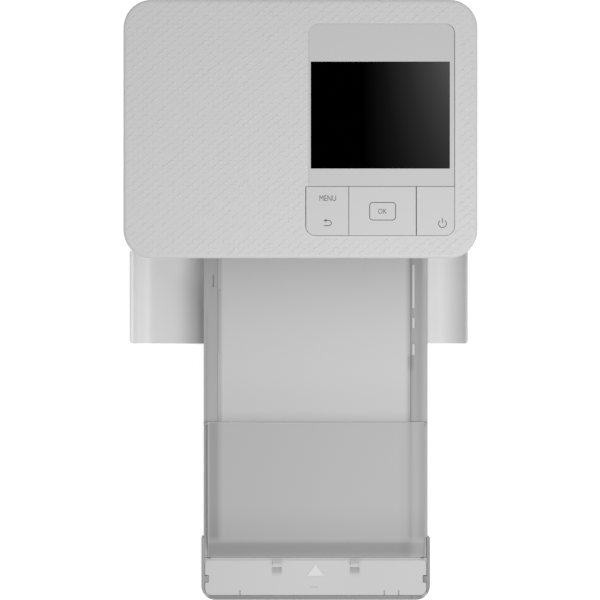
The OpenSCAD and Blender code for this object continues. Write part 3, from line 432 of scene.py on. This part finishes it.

# %% [markdown]
# On the tray, patches of painted shade darken the two long strips beside the lids and the rim around the
# front plate. They lie on its upper side only, above z = 27.2 mm, so the outside of its walls keeps one
# even tone. The front plate has a little painted shade around each of its two hooks and towards its
# right, and a painted highlight on each hook's bar and along its rear edge.

# %% Frosted tray and front plate
UPPER_SIDE = along("Z", 27.2, FAR, 0.3)
STRIP = along("Y", -145.3, FAR, 1)
RIM = along("Y", -175, -145, 1)
RIM_NOTCH = along("Y", -168.3, -164.8, 0.2)
# Painted shade on the tray's upper side: the strips beside the lids and the rim around the front plate.
tray_patches = [
    (0.31, along("X", -FAR, -42), STRIP),
    (0.42, along("X", 55, 64, 0.5, 1.2), STRIP),
    (0.22, along("X", 64, 66.5, 1.2, 0.3), along("Y", -145.3, -10, 1, 6)),
    (0.18, along("X", -49.2, -48.3, 0.5), along("Y", -86, -28, 4)),
    (0.16, along("X", 57.2, 58.3, 0.7)),
    (0.12, along("X", 60.6, 63.0, 1.0)),
    (0.3, along("X", 56.4, 58.8, 1.0), CORNER_SHADE),
    (0.2, along("X", -FAR, -48.4, 0.3), along("Y", -144.5, -87, 1)),
    (0.82, along("Y", -FAR, -175.4, 0.2)),
    (0.75, along("X", 65.4, FAR, 0.2), RIM),
    (0.9, along("X", 63, 65.4, 0.2), RIM_NOTCH),
    (0.45, along("X", -FAR, -49.6, 0.2), RIM),
    (0.5, along("X", -49.6, -47.5, 0.2), RIM_NOTCH),
]
tray_painted_shade = frosted("frosted tray with painted shade", tone(175), tone(118),
                     [(*patch, UPPER_SIDE) for patch in tray_patches])
# Painted shade around the plate's hooks and towards its right, and painted highlights on the hooks' bars
# and along its rear edge.
plate_patches = [
    (0.12, along("X", 20, FAR, 30)),
    (0.35, along("Y", -156.8, -150, 1.5)),
    (-0.9, along("Y", -155.9, -150, 0.3)),
]
for x in (-12.35, 28.15):
    plate_patches += [
        (0.62, along("X", x - 2.5, x + 2.5, 1.1), along("Y", -164.0, -160.5, 2.4, 0.3)),
        (0.25, along("X", x - 3.2, x + 3.2, 2.4), along("Y", -158.9, -150, 1.0)),
        (-0.4, along("X", x - 2.2, x + 2.2, 0.3), along("Y", -160.4, -158.8, 0.3)),
    ]
plate_painted_shade = frosted("frosted front plate with painted shade", tone(191), tone(150), plate_patches)
print("frosted tray with painted shade and front plate:", len(tray_patches), "and", len(plate_patches), "patches")

# %% [markdown]
# ## The front door
# The door is folded down and reaches out on both sides under the cassette. It is white and isn't
# frosted, but the same patches paint the shade that gathers in its curved ends and the shadow against
# the cassette's left wall, and painted highlights near the printer's front face and along the rim of its
# right end.

# %% Door
# Painted shade in the curved ends and painted shadow of the cassette, with painted highlights near the
# printer and on the right rim.
door_white_painted_shade = frosted("door white with painted shade", tone(231), tone(170), [
    (-0.12, along("Y", -22, FAR, 20), along("X", 60, FAR, 5)),
    (-0.2, along("Y", -8, FAR, 8), along("X", -66, -50, 5)),
    (0.3, along("X", -79.4, -57, 2, 5)),
    (0.15, along("X", 69, FAR, 3)),
    (0.15, along("X", 75, FAR, 2)),
    (0.15, along("X", 83, FAR, 10)),
    (0.12, along("X", -FAR, -88.6, 0.5)),
    (-0.1, along("X", -88.6, -84, 0.8)),
    (0.42, along("X", -53.6, -50, 1.8), along("Y", -FAR, -19, 14)),
    (-0.1, along("X", -60, -50, 3), along("Y", -13, FAR, 6)),
    (-0.7, along("X", 86.7, FAR, 0.4)),
], 1.0 * MM)
print("door ready")

# %% [markdown]
# ## Dressing the CAD parts
# Each CAD node takes one of the finishes. The last lines look for a node that still has the plain
# material it came with; the list they print should be empty.

# %% Dress the CAD parts
dress(case_white, "bottom_case", "top_case", "rear_cover", "ribbon_door")
dress(door_white_painted_shade, "front_door")
dress(fascia_grey, "front_fascia")
dress(foot_rubber, "rubber_feet")
dress(surround_white, "screen_surround")
dress(screen_black, "screen_window")
dress(key_white, "menu_key", "navigation_key", "ok_key", "power_key")
dress(lamp_clear, "power_lamp")
dress(board_black, "key_board", "main_board", "print_head", "display_module")
dress(steel_sheet, "left_side_plate", "right_side_plate", "cross_members", "head_arm", "lift_plate",
      "card_slot", "usb_port")
dress(steel_turned, "case_screws", "chassis_screws", "front_door_pins", "ribbon_door_pins",
      "outer_lid_pins", "inner_lid_pins", "idler_post", "capstan_roller", "pinch_roller", "feed_motor",
      "ribbon_motor")
dress(steel_spring, "head_springs")
dress(sink_aluminium, "heat_sink")
dress(brass_turned, "feed_pinion", "ribbon_pinion")
dress(roller_rubber, "platen_roller", "pickup_roller")
dress(gear_acetal, "capstan_gear", "pickup_gear", "idler_gear", "takeup_gear")
dress(lever_blue, "eject_lever")
dress(cartridge_grey, "ribbon_case")
dress(film_gloss, "ink_ribbon", "supply_spool", "takeup_spool")
dress(black_plastic, "power_jack", "fan_housing", "fan_rotor")
dress(tray_painted_shade, "cassette_tray", "edge_guides")
dress(plate_painted_shade, "cassette_front_plate")
dress(outer_lid_painted_shade, "outer_lid")
dress(inner_lid_painted_shade, "inner_lid")
made = {material.name for material in bpy.data.materials if material.use_nodes}
plain = [name for name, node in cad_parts.items()
         if len(node.data.materials) != 1 or node.data.materials[0].name not in made]
print("nodes without a finish:", plain)

# %% [markdown]
# ## The raised weave on the lid
# The flat top, except for the framed screen and the keys, is moulded with more than a thousand low
# dashes that all lean the same way. They are too many to place by hand and too regular to paint, so
# Geometry Nodes copy one small domed dash onto a staggered lattice of points. The lattice is made first,
# as bare points that keep clear of the rounded edge and of the two rectangles of the panel.

# %% Lattice of points
WEAVE_STEP = Vector((2.588, 2.131)) * MM
WEAVE_ANGLE = math.atan2(WEAVE_STEP.y, WEAVE_STEP.x)
WEAVE_REACH = 60
DASH_SIZE = Vector((3.3, 1.5, 0.16)) * MM
DASH_SINK = 0.03 * MM
BODY_CORNER = 14.5 * MM
EDGE_MARGIN = 2.4 * MM
PANEL_CORNER = 6 * MM
PANEL_MARGIN = 1.3 * MM
PANELS = ((at(4.1, 30).xy, at(79.4, 120.6).xy), (at(2.5, 11.5).xy, at(79.4, 37).xy))
body_low, body_high = (corner.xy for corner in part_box("top_case"))


def inside_round_rect(p, low, high, radius):
    """Whether a point lies in a rounded rectangle."""
    middle = (low + high) / 2
    reach = (high - low) / 2 - Vector((radius, radius))
    over = Vector((max(abs(p.x - middle.x) - reach.x, 0), max(abs(p.y - middle.y) - reach.y, 0)))
    return over.length < radius


def on_weave(p):
    """Whether a dash may stand at p: on the flat top and clear of the panel."""
    margin = Vector((EDGE_MARGIN, EDGE_MARGIN))
    if not inside_round_rect(p, body_low + margin, body_high - margin, BODY_CORNER - EDGE_MARGIN):
        return False
    gap = Vector((PANEL_MARGIN, PANEL_MARGIN))
    return not any(inside_round_rect(p, low - gap, high + gap, PANEL_CORNER) for low, high in PANELS)


middle = (body_low + body_high) / 2
steps = range(-WEAVE_REACH, WEAVE_REACH + 1)
points = []
for i in steps:
    for j in steps:
        p = middle + Vector(((i + j) * WEAVE_STEP.x, (i - j) * WEAVE_STEP.y))
        if on_weave(p):
            points.append((p.x, p.y, TOP - DASH_SINK))
print("dashes:", len(points))

# %% [markdown]
# ## A first Geometry Nodes tree
# Every tree here is used the same way. `new_tree` makes it with named inputs, and `add` puts in one node
# at a time. `grow` sets the inputs on a modifier by their identifiers, takes the result as a plain mesh
# and removes the modifier again, so that what is left is an ordinary piece at the origin.

# %% Helpers for Geometry Nodes


def new_tree(name, inputs):
    """Geometry Nodes tree with a geometry in and out and these named inputs."""
    tree = bpy.data.node_groups.new(name, "GeometryNodeTree")
    tree.interface.new_socket("Geometry", in_out="INPUT", socket_type="NodeSocketGeometry")
    for label, kind in inputs:
        tree.interface.new_socket(label, in_out="INPUT", socket_type=kind)
    tree.interface.new_socket("Geometry", in_out="OUTPUT", socket_type="NodeSocketGeometry")
    return tree, tree.nodes.new("NodeGroupInput"), tree.nodes.new("NodeGroupOutput")


def add(tree, kind, links=(), **settings):
    """Adds a node, sets its properties, and links (from socket, to input name or index) pairs."""
    node = tree.nodes.new(kind)
    for key, value in settings.items():
        setattr(node, key, value)
    for source, target in links:
        tree.links.new(source, node.inputs[target])
    return node


def grow(name, tree, values, body, points=()):
    """Runs a tree on bare points and keeps the result as a plain piece that rides on a CAD body."""
    mesh = bpy.data.meshes.new(name + ".points")
    mesh.from_pydata(points, [], [])
    piece = bpy.data.objects.new(name, mesh)
    bpy.context.scene.collection.objects.link(piece)
    modifier = piece.modifiers.new("grow", "NODES")
    modifier.node_group = tree
    for item in tree.interface.items_tree:
        if item.item_type == "SOCKET" and item.in_out == "INPUT" and item.name in values:
            modifier[item.identifier] = values[item.name]
    bpy.context.view_layer.update()
    grown = piece.evaluated_get(bpy.context.evaluated_depsgraph_get())
    piece.data = bpy.data.meshes.new_from_object(grown)
    piece.modifiers.clear()
    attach(piece, body)
    print(f"{name}: {len(piece.data.vertices)} vertices, {len(piece.data.polygons)} faces")


INTEGER, MATERIAL = "NodeSocketInt", "NodeSocketMaterial"

# %% Tree: domed dashes
weave_tree, t_in, t_out = new_tree("domed dashes", [
    ("Size", VECTOR), ("Lean", FLOAT), ("Wander", VECTOR), ("Seed", INTEGER), ("Finish", MATERIAL)])
dome = add(weave_tree, "GeometryNodeMeshUVSphere")
for label, value in (("Segments", 12), ("Rings", 5), ("Radius", 0.5)):
    dome.inputs[label].default_value = value
dash = add(weave_tree, "GeometryNodeTransform", [
    (dome.outputs["Mesh"], "Geometry"), (t_in.outputs["Size"], "Scale")])
flip = add(weave_tree, "ShaderNodeVectorMath", [(t_in.outputs["Wander"], 0)], operation="SCALE")
flip.inputs["Scale"].default_value = -1.0
drift = add(weave_tree, "FunctionNodeRandomValue", [
    (flip.outputs[0], "Min"), (t_in.outputs["Wander"], "Max"), (t_in.outputs["Seed"], "Seed")],
    data_type="FLOAT_VECTOR")
moved = add(weave_tree, "GeometryNodeSetPosition", [
    (t_in.outputs["Geometry"], "Geometry"), (drift.outputs["Value"], "Offset")])
turn = add(weave_tree, "ShaderNodeCombineXYZ", [(t_in.outputs["Lean"], "Z")])
# No two dashes have quite the same length, width and height.
growth = add(weave_tree, "FunctionNodeRandomValue", [(t_in.outputs["Seed"], "Seed")],
             data_type="FLOAT_VECTOR")
growth.inputs["Min"].default_value = (0.8, 0.85, 0.75)
growth.inputs["Max"].default_value = (1.1, 1.1, 1.1)
copies = add(weave_tree, "GeometryNodeInstanceOnPoints", [
    (moved.outputs["Geometry"], "Points"), (dash.outputs["Geometry"], "Instance"),
    (turn.outputs[0], "Rotation"), (growth.outputs["Value"], "Scale")])
real = add(weave_tree, "GeometryNodeRealizeInstances", [(copies.outputs["Instances"], "Geometry")])
smooth = add(weave_tree, "GeometryNodeSetShadeSmooth", [(real.outputs["Geometry"], "Geometry")])
painted = add(weave_tree, "GeometryNodeSetMaterial", [
    (smooth.outputs["Geometry"], "Geometry"), (t_in.outputs["Finish"], "Material")])
weave_tree.links.new(painted.outputs["Geometry"], t_out.inputs["Geometry"])
grow("lid_weave", weave_tree, {
    "Size": DASH_SIZE, "Lean": WEAVE_ANGLE, "Wander": Vector((0.2, 0.2, 0)) * MM, "Seed": 7,
    "Finish": case_white}, "printer", points)

# %% [markdown]
# ## Contacts in the two sockets
# The sockets in the right wall have gilded contacts: leaves that stand out of the holder in the card
# slot, and strips that lie on the tongue of the data socket. A second tree lays one leaf along a line
# again and again. It starts from a mesh line, so it needs no points from outside.

# %% Tree: row of leaves
row_tree, t_in, t_out = new_tree("row of leaves", [
    ("Count", INTEGER), ("Start", VECTOR), ("Step", VECTOR), ("Size", VECTOR), ("Finish", MATERIAL)])
line = add(row_tree, "GeometryNodeMeshLine", [
    (t_in.outputs["Count"], "Count"), (t_in.outputs["Start"], "Start Location"),
    (t_in.outputs["Step"], "Offset")], mode="OFFSET")
leaf = add(row_tree, "GeometryNodeMeshCube", [(t_in.outputs["Size"], "Size")])
copies = add(row_tree, "GeometryNodeInstanceOnPoints", [
    (line.outputs["Mesh"], "Points"), (leaf.outputs["Mesh"], "Instance")])
real = add(row_tree, "GeometryNodeRealizeInstances", [(copies.outputs["Instances"], "Geometry")])
painted = add(row_tree, "GeometryNodeSetMaterial", [
    (real.outputs["Geometry"], "Geometry"), (t_in.outputs["Finish"], "Material")])
row_tree.links.new(painted.outputs["Geometry"], t_out.inputs["Geometry"])
PITCH = Vector((0, 0, 2.5)) * MM
grow("card_contacts", row_tree, {
    "Count": 8, "Start": at(79.5, 17.55, 18.25), "Step": PITCH, "Size": Vector((6, 0.25, 1.0)) * MM,
    "Finish": contact_gold}, "printer")
grow("socket_contacts", row_tree, {
    "Count": 4, "Start": at(81.2, 115.95, 15.25), "Step": PITCH, "Size": Vector((10, 0.14, 1.1)) * MM,
    "Finish": contact_gold}, "printer")

# %% [markdown]
# ## Printed legends
# The keys carry a word or a sign in dark ink. Ink has almost no thickness, but as real geometry it stays
# sharp and exports well, so each legend is a mesh two hundredths of a millimetre thick, sunk a hair into
# what it is printed on. Words come from Blender's own font, made a mesh and fitted to a box; signs are
# strokes along a few points.

# %% Helpers for legends
INK = 0.02 * MM
INK_SINK = 0.002 * MM
LINE = 0.42 * MM


def ink_on(node):
    """Height of the middle of the ink on a node's top."""
    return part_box(node)[1].z + INK / 2 - INK_SINK


def add_mesh(name, verts, faces, material, body):
    """A plain piece from vertices in scene metres."""
    mesh = bpy.data.meshes.new(name)
    mesh.from_pydata(verts, [], faces)
    mesh.materials.append(material)
    mesh.validate()
    piece = bpy.data.objects.new(name, mesh)
    bpy.context.scene.collection.objects.link(piece)
    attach(piece, body)


def word(name, text, centre, width, height, body):
    """A printed word, fitted to a width and height around centre."""
    curve = bpy.data.curves.new(name, "FONT")
    curve.body = text
    curve.extrude = 0.5
    holder = bpy.data.objects.new(name, curve)
    bpy.context.scene.collection.objects.link(holder)
    bpy.context.view_layer.update()
    mesh = bpy.data.meshes.new_from_object(holder.evaluated_get(bpy.context.evaluated_depsgraph_get()))
    bpy.data.objects.remove(holder)
    xs, ys = [v.co.x for v in mesh.vertices], [v.co.y for v in mesh.vertices]
    scale = Matrix.Diagonal((width / (max(xs) - min(xs)), height / (max(ys) - min(ys)), INK, 1))
    shift = Matrix.Translation((-(min(xs) + max(xs)) / 2, -(min(ys) + max(ys)) / 2, 0))
    mesh.transform(Matrix.Translation(centre) @ scale @ shift)
    mesh.materials.clear()
    mesh.materials.append(ink_grey)
    piece = bpy.data.objects.new(name, mesh)
    bpy.context.scene.collection.objects.link(piece)
    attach(piece, body)
    print(f"{name}: {width * 1000:.1f} x {height * 1000:.1f} mm")


def stroke(name, path, width, z, body, closed=False, material=ink_grey):
    """A printed line of even width along a flat path."""
    verts, faces = [], []
    count = len(path)
    for i, p in enumerate(path):
        before = path[(i - 1) % count] if closed or i > 0 else p
        after = path[(i + 1) % count] if closed or i < count - 1 else p
        way = (after - before).normalized()
        side = Vector((-way.y, way.x)) * width / 2
        for q in (p + side, p - side):
            verts += [(q.x, q.y, z - INK / 2), (q.x, q.y, z + INK / 2)]
    for i in range(count if closed else count - 1):
        a, b = 4 * i, 4 * ((i + 1) % count)
        faces += [(a + 1, a + 3, b + 3, b + 1), (a, b, b + 2, a + 2),
                  (a, a + 1, b + 1, b), (a + 2, b + 2, b + 3, a + 3)]
    if not closed:
        end = 4 * (count - 1)
        faces += [(0, 2, 3, 1), (end, end + 1, end + 3, end + 2)]
    add_mesh(name, verts, faces, material, body)


def arc(centre, radius, start, end, count):
    """Points on an arc, angles in degrees."""
    turns = [math.radians(start + (end - start) * i / (count - 1)) for i in range(count)]
    return [centre + Vector((math.cos(t), math.sin(t))) * radius for t in turns]


# %% Legends on the keys
ink_z = ink_on("menu_key")
word("menu_legend", "MENU", Vector((*at(14.0, 30.9).xy, ink_z)), 8.5 * MM, 2.9 * MM, "menu_key")
word("ok_legend", "OK", Vector((*at(42.1, 24.2).xy, ink_on("ok_key"))), 4.5 * MM, 2.6 * MM, "ok_key")

back_mid = at(13.9, 18.1).xy
hook = [back_mid + Vector((-1.9, -1.35)) * MM, back_mid + Vector((0.6, -1.35)) * MM]
hook += arc(back_mid + Vector((0.6, 0.0)) * MM, 1.35 * MM, -75, 75, 9)
hook += [back_mid + Vector((0.6, 1.35)) * MM, back_mid + Vector((-0.9, 1.35)) * MM]
stroke("back_sign", hook, LINE, ink_z, "menu_key")
tip = [back_mid + Vector(v) * MM for v in ((-2.1, 1.35), (-0.6, 2.2), (-0.6, 0.5))]
rim = [(p.x, p.y, ink_z + s * INK / 2) for s in (-1, 1) for p in tip]
add_mesh("back_sign_tip", rim, [(0, 1, 2), (5, 4, 3), (0, 3, 4, 1), (1, 4, 5, 2), (2, 5, 3, 0)],
         ink_grey, "menu_key")

power_mid = at(73.0, 17.8).xy
stroke("power_ring", arc(power_mid, 2.0 * MM, 128, 412, 36), LINE, ink_z, "power_key")
bar = [power_mid + Vector((0, y)) * MM for y in (0.3, 2.8)]
stroke("power_bar", bar, LINE, ink_z, "power_key")
print("signs drawn")

# %% [markdown]
# ## Seal around the screen
# A hair-thin black seal closes the gap around the glass and reaches out a little further along the
# lower edge. It is a closed stroke. At a right angle a stroke keeps only 1 / sqrt(2) of its width, so
# the width is given that much larger.

# %% Screen seal
SEAL = 0.4 * MM
left, right = screen_low.x - 0.03 * MM, screen_high.x - 0.05 * MM
near, far = screen_low.y - 0.17 * MM, screen_high.y + 0.02 * MM
corners = [Vector(p) for p in ((left, near), (right, near), (right, far), (left, far))]
stroke("screen_seal", corners, SEAL * math.sqrt(2), ink_on("screen_surround"), "printer",
       closed=True, material=screen_black)
print("seal drawn")

# %% [markdown]
# ## Pale marks on the cassette
# The triangle on the front plate, which shows which way the paper goes in, and three short ribs beside
# the inner lid are a little lighter than what they stand on. Each gets a thin pale cap.

# %% Pale marks
CAP = 0.03 * MM
PLATE_TOP = 29.3 * MM
RIB_TOP = 28.5 * MM
RIB_X = (58.15, 59.35)


def slab(name, outline, z, material, body):
    """Thin flat piece over a convex outline, with its top at z plus the cap's thickness."""
    count = len(outline)
    verts = [(p.x, p.y, z + h) for h in (-CAP, CAP) for p in outline]
    faces = [tuple(range(count - 1, -1, -1)), tuple(range(count, 2 * count))]
    faces += [(i, (i + 1) % count, count + (i + 1) % count, count + i) for i in range(count)]
    add_mesh(name, verts, faces, material, body)


triangle = [at(x, y).xy for x, y in ((3.4, -165), (12.1, -165), (7.8, -158.9))]
slab("plate_triangle", triangle, PLATE_TOP, mark_bright, "cassette")
x0, x1 = RIB_X
for number, (y0, y1) in enumerate(((-25.6, -3.0), (-36.0, -30.6), (-50.0, -44.4))):
    outline = [at(x, y).xy for x, y in ((x0, y0), (x1, y0), (x1, y1), (x0, y1))]
    slab(f"guide_rib_{number}", outline, RIB_TOP, mark_pale, "cassette")
print("pale marks: 4")

# %% [markdown]
# ## Floor, light and camera
# The printer stands on a plain pale floor in a bright, even room, under one large soft lamp to its front
# right. The floor looks white to the camera and to reflections, because its material adds a little light
# of its own for those rays only, and it still takes the object's shadow. Right overhead the room has a
# dark patch that only reflections see, as a studio has where its camera hangs, and the glossy screen
# stays black from above. The patch grows darker from PATCH_START to PATCH_FULL, where 1 is straight up.

# %% Floor
FLOOR_REACH = 6.0
FLOOR_GLOW = 0.7
floor_mesh = bpy.data.meshes.new("floor")
floor_mesh.from_pydata([(x, y, 0) for x, y in ((-1, -1), (1, -1), (1, 1), (-1, 1))], [], [(0, 1, 2, 3)])
floor_mesh.transform(Matrix.Diagonal((FLOOR_REACH, FLOOR_REACH, 1, 1)))
floor = bpy.data.objects.new("floor", floor_mesh)
bpy.context.scene.collection.objects.link(floor)
floor_white = bpy.data.materials.new("floor white")
floor_white.use_nodes = True
nodes, links = floor_white.node_tree.nodes, floor_white.node_tree.links
floor_shader = nodes["Principled BSDF"]
floor_shader.inputs["Base Color"].default_value = (0.8, 0.8, 0.8, 1)
floor_shader.inputs["Roughness"].default_value = 0.9
floor_shader.inputs["Specular IOR Level"].default_value = 0.0
ray = nodes.new("ShaderNodeLightPath")
seen = ray.outputs["Is Camera Ray"]
for kind in ("Is Glossy Ray", "Is Transmission Ray"):
    seen = calc(nodes, links, "MAXIMUM", seen, ray.outputs[kind])
glow_choice = nodes.new("ShaderNodeMixShader")
links.new(seen, glow_choice.inputs[0])
for i, strength in ((1, 0.0), (2, FLOOR_GLOW)):
    emission = nodes.new("ShaderNodeEmission")
    emission.inputs["Strength"].default_value = strength
    links.new(emission.outputs[0], glow_choice.inputs[i])
surface = nodes.new("ShaderNodeAddShader")
links.new(floor_shader.outputs[0], surface.inputs[0])
links.new(glow_choice.outputs[0], surface.inputs[1])
links.new(surface.outputs[0], nodes["Material Output"].inputs["Surface"])
floor_mesh.materials.append(floor_white)
print("floor ready")

# %% Room light
ROOM_LIGHT = 0.58
PATCH_START, PATCH_FULL = 0.8, 0.97
world = bpy.data.worlds.new("bright room")
bpy.context.scene.world = world
world.use_nodes = True
nodes, links = world.node_tree.nodes, world.node_tree.links
room = nodes["Background"]
room.inputs["Color"].default_value = (1, 1, 1, 1)
ray = nodes.new("ShaderNodeLightPath")
axes = nodes.new("ShaderNodeSeparateXYZ")
links.new(nodes.new("ShaderNodeTexCoord").outputs["Generated"], axes.inputs[0])
overhead = nodes.new("ShaderNodeMapRange")
overhead.interpolation_type = "SMOOTHSTEP"
overhead.inputs["From Min"].default_value = PATCH_START
overhead.inputs["From Max"].default_value = PATCH_FULL
links.new(axes.outputs["Z"], overhead.inputs["Value"])
hidden = calc(nodes, links, "MULTIPLY", overhead.outputs["Result"], ray.outputs["Is Glossy Ray"])
lit = calc(nodes, links, "SUBTRACT", 1.0, hidden)
strength = nodes.new("ShaderNodeMapRange")
links.new(ray.outputs["Is Camera Ray"], strength.inputs["Value"])
links.new(calc(nodes, links, "MULTIPLY", ROOM_LIGHT, lit), strength.inputs["To Min"])
strength.inputs["To Max"].default_value = 1.0
links.new(strength.outputs["Result"], room.inputs["Strength"])
print("room light", ROOM_LIGHT)

# %% Soft lamp


def soft_lamp(name, place, aim, size, power):
    """Square area lamp that faces a point."""
    data = bpy.data.lights.new(name, "AREA")
    data.shape = "SQUARE"
    data.size = size
    data.energy = power
    lamp = bpy.data.objects.new(name, data)
    bpy.context.scene.collection.objects.link(lamp)
    lamp.location = place
    lamp.rotation_euler = (Vector(aim) - Vector(place)).to_track_quat("-Z", "Y").to_euler()


soft_lamp("key lamp", place=(0.16, -0.15, 0.6), aim=(0.0, -0.02, 0.05), size=0.26, power=1.92)
print("lamp ready")

# %% [markdown]
# ## Camera
# The view is straight down from more than two metres, so the sides of the printer don't show and what
# lies lower is only a little smaller. The lens is long enough that the frame takes in 308.5 mm at the
# flat top.

# %% Camera
VIEW_HEIGHT = 2.306
VIEW_WIDTH = 308.46 * MM
VIEW_CENTRE = at(-0.28, -21.45)
SENSOR = 36.0
camera_data = bpy.data.cameras.new("camera")
camera_data.sensor_width = SENSOR
camera_data.lens = SENSOR * VIEW_HEIGHT / VIEW_WIDTH
camera_data.clip_end = 20.0
camera = bpy.data.objects.new("camera", camera_data)
bpy.context.scene.collection.objects.link(camera)
camera.location = (*VIEW_CENTRE.xy, TOP + VIEW_HEIGHT)
bpy.context.scene.camera = camera
bpy.context.scene.view_settings.view_transform = "Standard"
print("lens", round(camera_data.lens, 1), "mm")
